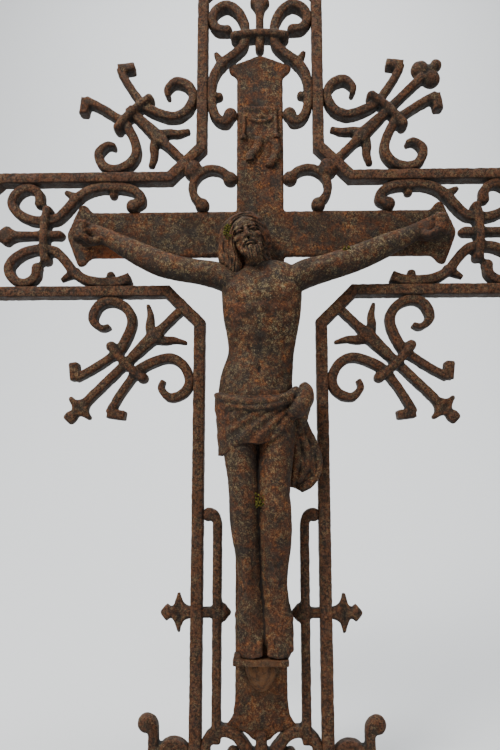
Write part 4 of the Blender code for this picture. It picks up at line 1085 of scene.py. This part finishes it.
def head_shells():
    """The head before it is fused: skull, ridges, beard, neck and waving locks of hair."""
    surface = Surface()
    for centre, radii in SKULL:
        lump(surface, centre, radii, on_head)
    for start, end, radius in FACE_RIDGES:
        muscle(surface, start, end, radius, radius, on_head)
    for root, tip in BEARD_LOCKS:
        sway = np.array([0.8 * math.sin(root[0] * 1.7), 0.6, 0])
        rows = [(*root, 3.0, 3.4), (*(np.mean([root, tip], axis=0) + sway), 3.0, 3.2), (*tip, 1.2, 1.4)]
        limb(surface, rows, sides=16, steps=5, carry=on_head)
    limb(surface, NECK[2:], sides=32)
    for k, rows in enumerate(HAIR):
        line = smooth(rows, 6)
        share = np.linspace(0, 1, len(line))
        line[:, 0] += 1.7 * np.sin(share * 15 + k) * share
        line[:, 1] += 1.4 * np.cos(share * 15 + k) * share
        limb(surface, line, sides=20, steps=2)
    return surface


def strands(obj):
    """Fine grooves along the hair, which lies in arcs over the crown and falls straight below it."""
    mesh = obj.data
    points, normals = points_of(mesh), normals_of(mesh)
    local = (parts_of(points) - HEAD_CENTRE) @ head_turn()
    face = np.exp(-(np.hypot(local[:, 0] / 14.5, (local[:, 2] + 4) / 19))**6) * (local[:, 1] > 8)
    fall = np.hypot(local[:, 0], np.clip(local[:, 2] + 2, 0, None)) * 1.75 + local[:, 1] * 1.15
    fall += 1.5 * np.sin(local[:, 2] * 0.21) + 0.8 * np.sin(local[:, 1] * 0.33)
    beard = (local[:, 2] < -20) & (np.abs(local[:, 0]) < 15) & (local[:, 1] > 6)
    wave = np.where(beard, np.sin(local[:, 0] * 1.9 + 0.6 * np.sin(local[:, 2] * 0.5)), np.sin(fall))
    points += normals * ((1 - face) * 0.60 * part() * wave)[:, None]
    mesh.vertices.foreach_set("co", points.ravel())
    mesh.update()


def fold_wave(across, up):
    """Height of the cloth's folds: bell-shaped ridges at set angles seen from the knot."""
    away = FOLD_HUB[0] - across
    angle = np.degrees(np.arctan2(FOLD_HUB[1] - up, np.maximum(away, 1e-3)))
    far = np.clip(np.hypot(up - FOLD_HUB[1], away) / 45, 0.15, 1.15)
    bend = 2.2 * np.sin(away * 0.055)
    height = np.zeros_like(angle)
    for k, spot in enumerate(FOLDS):
        breadth = 2.4 + 0.35 * k
        height += (1 - 0.12 * (k % 2)) * np.exp(-((angle - spot + bend) / breadth)**2)
    return far * (height - 0.35)


def cloth_shells():
    """Rings of cloth round the hips with the folds as a swell of each ring, then rolls, knot and ends."""
    surface = Surface()
    rows = smooth(CLOTH, 12)
    turn = np.linspace(0, 2 * math.pi, 240, endpoint=False)[None, :]
    down = np.linspace(0, 1, len(rows))[:, None]
    side = np.cos(turn)
    across = rows[:, 0:1] + rows[:, 3:4] * side
    up = rows[:, 2:3] + CLOTH_SLANT * down * across - 7 * (1 - down) * (1 - side**2)
    up = up - 3.0 * down * np.sin(across * 0.13 + 1.0)
    wave = 1 + fold_wave(across, up) * 3.8 / 40 * (1 - 0.75 * np.clip(-side, 0, 1)**4)
    surface.grid(world(np.stack([rows[:, 0:1] + rows[:, 3:4] * side * wave,
                                 rows[:, 1:2] + rows[:, 4:5] * np.sin(turn) * wave, up], axis=-1)))
    for stations in CLOTH_LUMPS:
        limb(surface, stations, sides=24)
    return surface


# Shader maths as expressions

class Socket:
    """An output socket; adding to it and multiplying it makes Math nodes."""

    def __init__(self, tree, link):
        self.tree, self.link = tree, link

    def math(self, operation, *others):
        """A Math node on this socket and the other operands."""
        operands = dict(enumerate((self, *others)))
        return self.tree.node("ShaderNodeMath", {"operation": operation}, operands)

    def __add__(self, other):
        return self.math("ADD", other)

    def __mul__(self, other):
        return self.math("MULTIPLY", other)


class Tree:
    """The node tree of one material, with one method for every node."""

    def __init__(self, name):
        self.material = bpy.data.materials.new(name)
        self.material.use_nodes = True
        self.nodes = self.material.node_tree.nodes
        self.links = self.material.node_tree.links
        self.shader = self.nodes["Principled BSDF"]
        self.shader.inputs["Specular IOR Level"].default_value = 0.26
        self.place = self.node("ShaderNodeTexCoord", {}, {}, "Object")

    def node(self, kind, settings, values, output=0):
        """Any node: its settings first, then the values or links of its sockets."""
        made = self.nodes.new(kind)
        for name, value in settings.items():
            setattr(made, name, value)
        for name, value in values.items():
            self.feed(made.inputs[name], value)
        return Socket(self, made.outputs[output])

    def feed(self, socket, value):
        """Link a socket or set its value; three numbers on a colour socket get an alpha of 1."""
        if isinstance(value, Socket):
            self.links.new(value.link, socket)
        elif isinstance(value, (tuple, list)) and len(value) == 3 and socket.type == "RGBA":
            socket.default_value = (*value, 1)
        else:
            socket.default_value = value

    def noise(self, scale, detail=4.0, rough=0.6, shift=0.0, bend=0.0):
        """Noise on object coordinates, moved aside by a shift so that layers differ."""
        spot = self.node("ShaderNodeMapping", {},
                         {"Vector": self.place, "Location": (shift, shift * 0.7, -shift)}, "Vector")
        return self.node("ShaderNodeTexNoise", {}, {"Vector": spot, "Scale": scale, "Detail": detail,
                                                    "Roughness": rough, "Distortion": bend}, "Fac")

    def step(self, value, low, high, bottom=0.0, top=1.0):
        """A smooth step of a value from one range to another."""
        ranges = {"Value": value, "From Min": low, "From Max": high, "To Min": bottom, "To Max": top}
        return self.node("ShaderNodeMapRange", {"interpolation_type": "SMOOTHSTEP"}, ranges, "Result")

    def mix(self, factor, first, second):
        """The first colour, turning into the second as the factor rises from 0 to 1."""
        made = self.nodes.new("ShaderNodeMix")
        made.data_type = "RGBA"
        self.feed(made.inputs[0], factor)
        self.feed(made.inputs[6], first)
        self.feed(made.inputs[7], second)
        return Socket(self, made.outputs[2])

    def stored(self, name):
        """A value that weather() kept on the vertices."""
        return self.node("ShaderNodeAttribute", {"attribute_name": name}, {}, "Fac")

    def near(self, centre, inner, outer):
        """1 within `inner` of a point, falling to 0 at `outer`."""
        gap = self.node("ShaderNodeVectorMath", {"operation": "DISTANCE"}, {0: self.place, 1: centre},
                        "Value")
        return self.step(gap, inner, outer, 1.0, 0.0)

    def finish(self, colour, roughness, bump, strength, distance):
        """Feed the colour, the roughness and a bump, and give the material back."""
        self.feed(self.shader.inputs["Base Color"], colour)
        self.feed(self.shader.inputs["Roughness"], roughness)
        normal = self.node("ShaderNodeBump", {},
                           {"Strength": strength, "Distance": distance, "Height": bump}, "Normal")
        self.feed(self.shader.inputs["Normal"], normal)
        return self.material


def iron_skin(t, shift, redness, crust, shade=1.0):
    """Colour, height and roughness of old iron: dark scale, red and slate patches, crust, and painted shade
    in the hollows and on the undersides.
    """
    c = colours()
    broad = t.noise(24, 4, 0.6, shift)
    middle = t.noise(95, 5, 0.65, shift + 1.3, 0.5)
    fine = t.noise(330, 4, 0.7, shift + 2.1)
    speck = t.noise(820, 2, 0.6, shift + 3.7)
    hollow, under = t.stored("hollow"), t.stored("under")
    tone = t.mix(t.step(broad * 0.4 + middle * 0.6, 0.42, 0.60) * redness, tuple(c.scale), tuple(c.warm))
    slate = t.step(t.noise(52, 4, 0.6, shift + 6.4), 0.50, 0.62)
    tone = t.mix(slate * 0.8, tone, tuple(c.slate))
    orange = t.step(middle * 0.55 + fine * 0.45, 0.52, 0.64) * t.step(broad, 0.46, 0.66)
    tone = t.mix(orange * redness, tone, tuple(c.bloom))
    grey = t.step(speck * 0.4 + t.noise(190, 5, 0.7, shift + 5.2) * 0.6, 0.47, 0.62)
    tone = t.mix(grey * t.step(t.noise(38, 3, 0.6, shift + 8.0), 0.34, 0.60) * crust, tone, tuple(c.lichen))
    dark = tuple(0.25 * v for v in c.scale)
    tone = t.mix(t.step(fine * 0.6 + speck * 0.4, 0.42, 0.58, 0.70, 0.0), tone, dark)
    tone = t.mix(t.step(speck * 0.6 + fine * 0.4, 0.60, 0.68) * crust * 0.6, tone, tuple(c.chalk))
    worn = t.step(hollow, -0.75, -0.1, 1.0, 0.0)
    tone = t.mix(worn * t.step(fine, 0.4, 0.6) * 0.35, tone, tuple(1.5 * v for v in c.warm))
    # Painted shade on the undersides, scaled by `shade`.
    tone = t.mix(t.step(under, 0.12, 0.80) * 0.75 * shade, tone, tuple(1.6 * v for v in c.shadow))
    # Painted shade in the hollows, nearly black.
    tone = t.mix(t.step(hollow, 0.04, 0.8) * 0.90, tone, tuple(c.shadow))
    height = fine * 0.7 + speck * 0.4 + middle * 0.6
    return tone, t.step(middle, 0.3, 0.7, 0.66, 0.95), height


def rail_iron():
    """The bars' iron: browner than the board's, with more painted shade on its undersides."""
    t = Tree("rusted_rails")
    tone, rough, height = iron_skin(t, 3.0, 0.26, 0.46)
    return t.finish(tone, rough, height, 0.8, 0.0016)


def board_iron():
    """The board's redder iron, with an ochre stain round the bracket and an orange one by a hand."""
    t, z, c = Tree("rusted_board"), sizes().crossing, colours()
    # The last value, 0.6, gives the board less painted shade on its undersides than the bars.
    tone, rough, height = iron_skin(t, 11.0, 1.0, 0.62, 0.6)
    patchy = t.step(t.noise(120, 4, 0.65, 2.2), 0.36, 0.60)
    ochre = t.near((0.0, -0.025, z + ledge_top() - 0.024), 0.012, 0.046)
    tone = t.mix(ochre * (patchy * 0.50 + 0.12), tone, tuple(c.ochre))
    tone = t.mix(t.near((-0.192, 0.0, z - 0.027), 0.006, 0.034) * patchy * 0.65, tone, tuple(c.stain))
    return t.finish(tone, rough, height, 0.8, 0.0016)


def figure_iron():
    """The figure's iron: more grey and ochre crust on the chest, the face and the arms."""
    t, z = Tree("figure_iron"), sizes().crossing
    chest = t.near((0.028, -0.045, z - 0.105), 0.02, 0.085)
    face = t.near((-0.014, -0.07, z - 0.020), 0.01, 0.042)
    arms = t.near((0.130, -0.03, z - 0.045), 0.03, 0.10)
    arms = arms + t.near((-0.110, -0.03, z - 0.045), 0.03, 0.09) * 0.6
    crust = t.step(chest + face + arms * 0.8, 0.0, 1.2) * 0.60 + 0.55
    tone, rough, height = iron_skin(t, 21.0, 0.85, crust)
    return t.finish(tone, rough, height, 0.7, 0.0015)


def moss_finish():
    """Moss: dark beds, olive tufts and dry yellow tips."""
    c, t = colours(), Tree("dry_moss")
    speck = t.noise(700, 4, 0.7, 4.0)
    tone = t.mix(t.step(speck, 0.44, 0.66), tuple(c.moss_bed), tuple(c.moss))
    tone = t.mix(t.step(t.noise(300, 3, 0.6, 9.0), 0.58, 0.70) * 0.6, tone, tuple(c.moss_tips))
    return t.finish(tone, 0.95, speck, 0.8, 0.0012)


MATERIALS = {}


def finish_of(name):
    """Materials are made once, from the colours as they stand."""
    if name not in MATERIALS:
        MATERIALS[name] = {"rails": rail_iron, "board": board_iron, "figure": figure_iron,
                           "moss": moss_finish}[name]()
    return MATERIALS[name]


def fused_piece(name, draw, voxel, seed, finish="rails", depth=1.0, reach=0.0006):
    """A piece of the openwork: its shells drawn, fused, weathered and tied to its body, the solid it stands
    for hidden.
    """
    surface = Surface()
    draw(surface)
    obj = cast(name, surface.mesh(name + "_drawn"), voxel)
    weather(obj, sizes().pitting * depth, reach, seed)
    return stands_for(obj, "openwork_cross", finish_of(finish))


# One operator for each piece or group of like pieces

class CROSS_OT_rails(Operator):
    """Draw the rail round the cross and the foot bar."""
    bl_idname = "cross.rails"
    bl_label = "Rails and foot"

    def execute(self, context):
        s = sizes()
        surface = Surface()
        rails(surface)
        frame_rail = linked("rail_frame", surface.mesh("rail_frame"))
        weather(frame_rail, s.pitting, 0.0005, seed=2)
        stands_for(frame_rail, "openwork_cross", finish_of("rails"))
        surface = Surface()
        z = s.foot_height / 2 - s.crossing
        bar(surface, stay([(-FOOT_HALF, z), (FOOT_HALF, z)]), s.foot_height, FOOT_DEPTH, power=9.0,
            sides=28, gap=0.003)
        foot = cast("foot_bar", surface.mesh("foot_bar"), s.board_voxel)
        weather(foot, s.pitting, seed=3)
        points = points_of(foot.data)
        points[:, 2] = np.where(points[:, 2] < 0.0012, 0.0, points[:, 2])
        foot.data.vertices.foreach_set("co", points.ravel())
        stands_for(foot, "openwork_cross", finish_of("rails"))
        return {"FINISHED"}


class CROSS_OT_sprays(Operator):
    """Draw the four corner sprays; the upper left one has lost its bud."""
    bl_idname = "cross.sprays"
    bl_label = "Corner sprays"

    def execute(self, context):
        for side, level, name in ((-1, 1, "upper_left"), (1, 1, "upper_right"), (-1, -1, "lower_left"),
                                  (1, -1, "lower_right")):
            draw = partial(spray, place=diagonal(side, level), side=side, level=level)
            fused_piece("spray_" + name, draw, sizes().bar_voxel, 5 + side + 3 * level)
        return {"FINISHED"}


class CROSS_OT_arm_ends(Operator):
    """Draw the lyre ornament and finial of the three arms, and the small scrolls in the upper corners."""
    bl_idname = "cross.arm_ends"
    bl_label = "Arm ends"

    def execute(self, context):
        for quarter, name in enumerate(("right", "top", "left")):
            draw = partial(arm_end, quarter=quarter)
            fused_piece("arm_end_" + name, draw, sizes().bar_voxel, 12 + quarter)
        for place, name in ((stay, "right"), (flipped, "left")):
            draw = partial(corner_scroll, place=place)
            fused_piece("corner_scroll_" + name, draw, sizes().bar_voxel, 17)
        return {"FINISHED"}


class CROSS_OT_shaft(Operator):
    """Draw the inner bars, tie rods and foot scrolls of the lower shaft."""
    bl_idname = "cross.shaft"
    bl_label = "Lower shaft"

    def execute(self, context):
        fused_piece("shaft_scrolls", lower_shaft, sizes().bar_voxel, 21)
        return {"FINISHED"}


class CROSS_OT_board(Operator):
    """Draw the cross board with its title scroll, footrest and bracket."""
    bl_idname = "cross.board"
    bl_label = "Board and reliefs"

    def execute(self, context):
        s = sizes()
        half = s.board_thickness / 2
        obj = cast("cross_board", plate("board", board_outline(), -half, half, 0.0012), s.board_voxel, 1)
        weather(obj, s.pitting, seed=31)
        stands_for(obj, "openwork_cross", finish_of("board"))
        for name, draw in (("title_scroll", title_scroll), ("footrest", footrest)):
            fused_piece(name, draw, RELIEF_VOXEL, 35, "board", 0.8, 0.0005)
        return {"FINISHED"}


class CROSS_OT_figure(Operator):
    """Draw the figure: body, head with hair, and loincloth."""
    bl_idname = "cross.figure"
    bl_label = "Figure"

    def execute(self, context):
        s = sizes()
        body = cast("figure_body", body_shells().mesh("body"), s.body_voxel, 3)
        trimmed(body)
        flat = parts_of(points_of(body.data))[:, [0, 2]]
        carve(body.data, MARKS, flat, -normals_of(body.data)[:, 1])
        head = cast("figure_head", head_shells().mesh("head"), s.head_voxel, 2)
        trimmed(head)
        local = (parts_of(points_of(head.data)) - HEAD_CENTRE) @ head_turn()
        front = (local[:, 1] > 8) * -normals_of(head.data)[:, 1]
        carve(head.data, FACE_MARKS, local[:, [0, 2]], front)
        strands(head)
        cloth = cast("loincloth", cloth_shells().mesh("cloth"), CLOTH_VOXEL, 2)
        trimmed(cloth)
        for obj, seed, share in ((body, 41, 0.8), (head, 44, 0.55), (cloth, 47, 0.75)):
            weather(obj, s.pitting * share, 0.0006, seed)
            trimmed(obj)
            stands_for(obj, "corpus", finish_of("figure"))
        return {"FINISHED"}


MOSS = [  # centre, spread across and up, and how many tufts
    ((-39.5, 49.5, -13), (5, 9), 40), ((-1.5, 57.5, -346), (8.5, 7.5), 30), ((-40, 32, -70), (3, 3), 8),
    ((60, 34, -62), (5, 2.5), 9), ((108, 33, -33), (7, 3), 9),
]


class CROSS_OT_moss(Operator):
    """Draw the tufts of dry moss in the hair, between the knees, on the shoulders and on an arm."""
    bl_idname = "cross.moss"
    bl_label = "Moss"

    def execute(self, context):
        surface = Surface()
        for k, (centre, spread, count) in enumerate(MOSS):
            for i in range(count):
                turn, far = i * 2.39996, math.sqrt((i + 0.5) / count)
                far *= 1 + 0.35 * math.sin(i * 2.3 + 2 * k)
                spot = (centre[0] + spread[0] * far * math.cos(turn),
                        centre[1] + 0.9 * math.sin(i * 1.7 + k),
                        centre[2] + spread[1] * far * math.sin(turn))
                size = 0.9 + 0.8 * (math.sin(i * 3.1 + k) * 0.5 + 0.5)
                lump(surface, spot, (size, size * 0.9, size), rings=7, sides=10)
        obj = linked("moss_tufts", surface.mesh("moss_tufts"))
        points, normals = points_of(obj.data), normals_of(obj.data)
        points += normals * (0.0006 * grain(points, 0.0011, 3))[:, None]
        obj.data.vertices.foreach_set("co", points.ravel())
        obj.data.shade_smooth()
        stands_for(obj, "corpus", finish_of("moss"))
        return {"FINISHED"}


PAPER, PAPER_ROUGHNESS = (0.74, 0.755, 0.765, 1), 0.95
AIR, AIR_STRENGTH = (0.90, 0.92, 0.95, 1), 0.27
BACKDROP_AT, BACKDROP_BEND, FLOOR_REACH = 3.2, 2.9, 9.0
LIGHTS = (  # name, place, aim, size, watts, tint
    ("window", (-1.2, -1.4, 2.2), (0, 0, 0.6), 0.8, 66, (1.0, 0.98, 0.94)),
    ("fill", (1.9, -1.5, 1.2), (0, 0, 0.5), 1.4, 7, (0.95, 0.97, 1.0)),
    ("wall_wash", (0, 0.7, 3.4), (0, 2.8, 0.5), 3.0, 165, (0.98, 0.99, 1.0)),
)


class CROSS_OT_stage(Operator):
    """Place the camera, the pale floor with its backdrop, and soft lights."""
    bl_idname = "cross.stage"
    bl_label = "Camera, floor and light"

    def execute(self, context):
        scene, s, v = context.scene, sizes(), context.scene.cross_stage
        data = bpy.data.cameras.new("view_from_photograph")
        data.sensor_width = 36
        data.lens = 36 * v.focal_px / v.frame_px
        camera = bpy.data.objects.new("view_from_photograph", data)
        camera.location = (v.side, -v.distance, s.crossing - v.drop)
        camera.rotation_euler = (math.radians(90 + v.pitch), 0, math.radians(v.yaw))
        scene.collection.objects.link(camera)
        scene.camera = camera
        back, bend, reach = BACKDROP_AT, BACKDROP_BEND, FLOOR_REACH
        turn = np.linspace(0, math.pi / 2, 16)
        y = np.concatenate([[-reach, -1], back - bend + bend * np.sin(turn), [back]])
        z = np.concatenate([np.zeros(2), bend * (1 - np.cos(turn)), [reach]])
        rows = np.stack([np.stack([np.full_like(y, x), y, z], axis=-1) for x in (-reach, reach)])
        count = len(y)
        faces = [(i, i + 1, count + i + 1, count + i) for i in range(count - 1)]
        mesh = bpy.data.meshes.new("studio_floor")
        mesh.from_pydata(rows.reshape(-1, 3).tolist(), [], faces)
        mesh.shade_smooth()
        floor = linked("studio_floor", mesh)
        paper = Tree("studio_paper")
        paper.shader.inputs["Base Color"].default_value = PAPER
        paper.shader.inputs["Roughness"].default_value = PAPER_ROUGHNESS
        floor.data.materials.append(paper.material)
        world = bpy.data.worlds.new("studio_air")
        world.use_nodes = True
        air = world.node_tree.nodes["Background"].inputs
        air["Color"].default_value = AIR
        air["Strength"].default_value = AIR_STRENGTH
        scene.world = world
        for name, spot, aim, size, power, tint in LIGHTS:
            light = bpy.data.lights.new(name, "AREA")
            light.shape = "SQUARE"
            light.size = size
            light.energy = power
            light.color = tint
            lamp = bpy.data.objects.new(name, light)
            lamp.location = spot
            lamp.rotation_euler = (Vector(aim) - Vector(spot)).to_track_quat("-Z", "Y").to_euler()
            scene.collection.objects.link(lamp)
        return {"FINISHED"}


STEPS = (CROSS_OT_stage, CROSS_OT_rails, CROSS_OT_sprays, CROSS_OT_arm_ends, CROSS_OT_shaft, CROSS_OT_board,
         CROSS_OT_figure, CROSS_OT_moss)


class CROSS_PT_pieces(Panel):
    """Sizes and colours of the cross, and a button for each group of pieces."""
    bl_idname = "CROSS_PT_pieces"
    bl_label = "Iron grave cross"
    bl_space_type = "VIEW_3D"
    bl_region_type = "UI"
    bl_category = "Grave cross"

    def draw(self, context):
        for group in (context.scene.cross_sizes, context.scene.cross_colours, context.scene.cross_stage):
            column = self.layout.column()
            for name in group.bl_rna.properties.keys():
                if name not in ("rna_type", "name"):
                    column.prop(group, name)
        for step in STEPS:
            self.layout.operator(step.bl_idname)


CLASSES = (CastingSizes, IronColours, StageSettings, *STEPS, CROSS_PT_pieces)


def register():
    """Make the classes known and hang the settings on the scene."""
    for cls in CLASSES:
        bpy.utils.register_class(cls)
    bpy.types.Scene.cross_sizes = PointerProperty(type=CastingSizes)
    bpy.types.Scene.cross_colours = PointerProperty(type=IronColours)
    bpy.types.Scene.cross_stage = PointerProperty(type=StageSettings)


def unregister():
    """Take back what register did."""
    del bpy.types.Scene.cross_stage
    del bpy.types.Scene.cross_colours
    del bpy.types.Scene.cross_sizes
    for cls in reversed(CLASSES):
        bpy.utils.unregister_class(cls)


def main():
    """Draw the stage and every piece."""
    register()
    bpy.ops.cross.stage()
    bpy.ops.cross.rails()
    bpy.ops.cross.sprays()
    bpy.ops.cross.arm_ends()
    bpy.ops.cross.shaft()
    bpy.ops.cross.board()
    bpy.ops.cross.figure()
    bpy.ops.cross.moss()


if __name__ == "__main__":
    main()
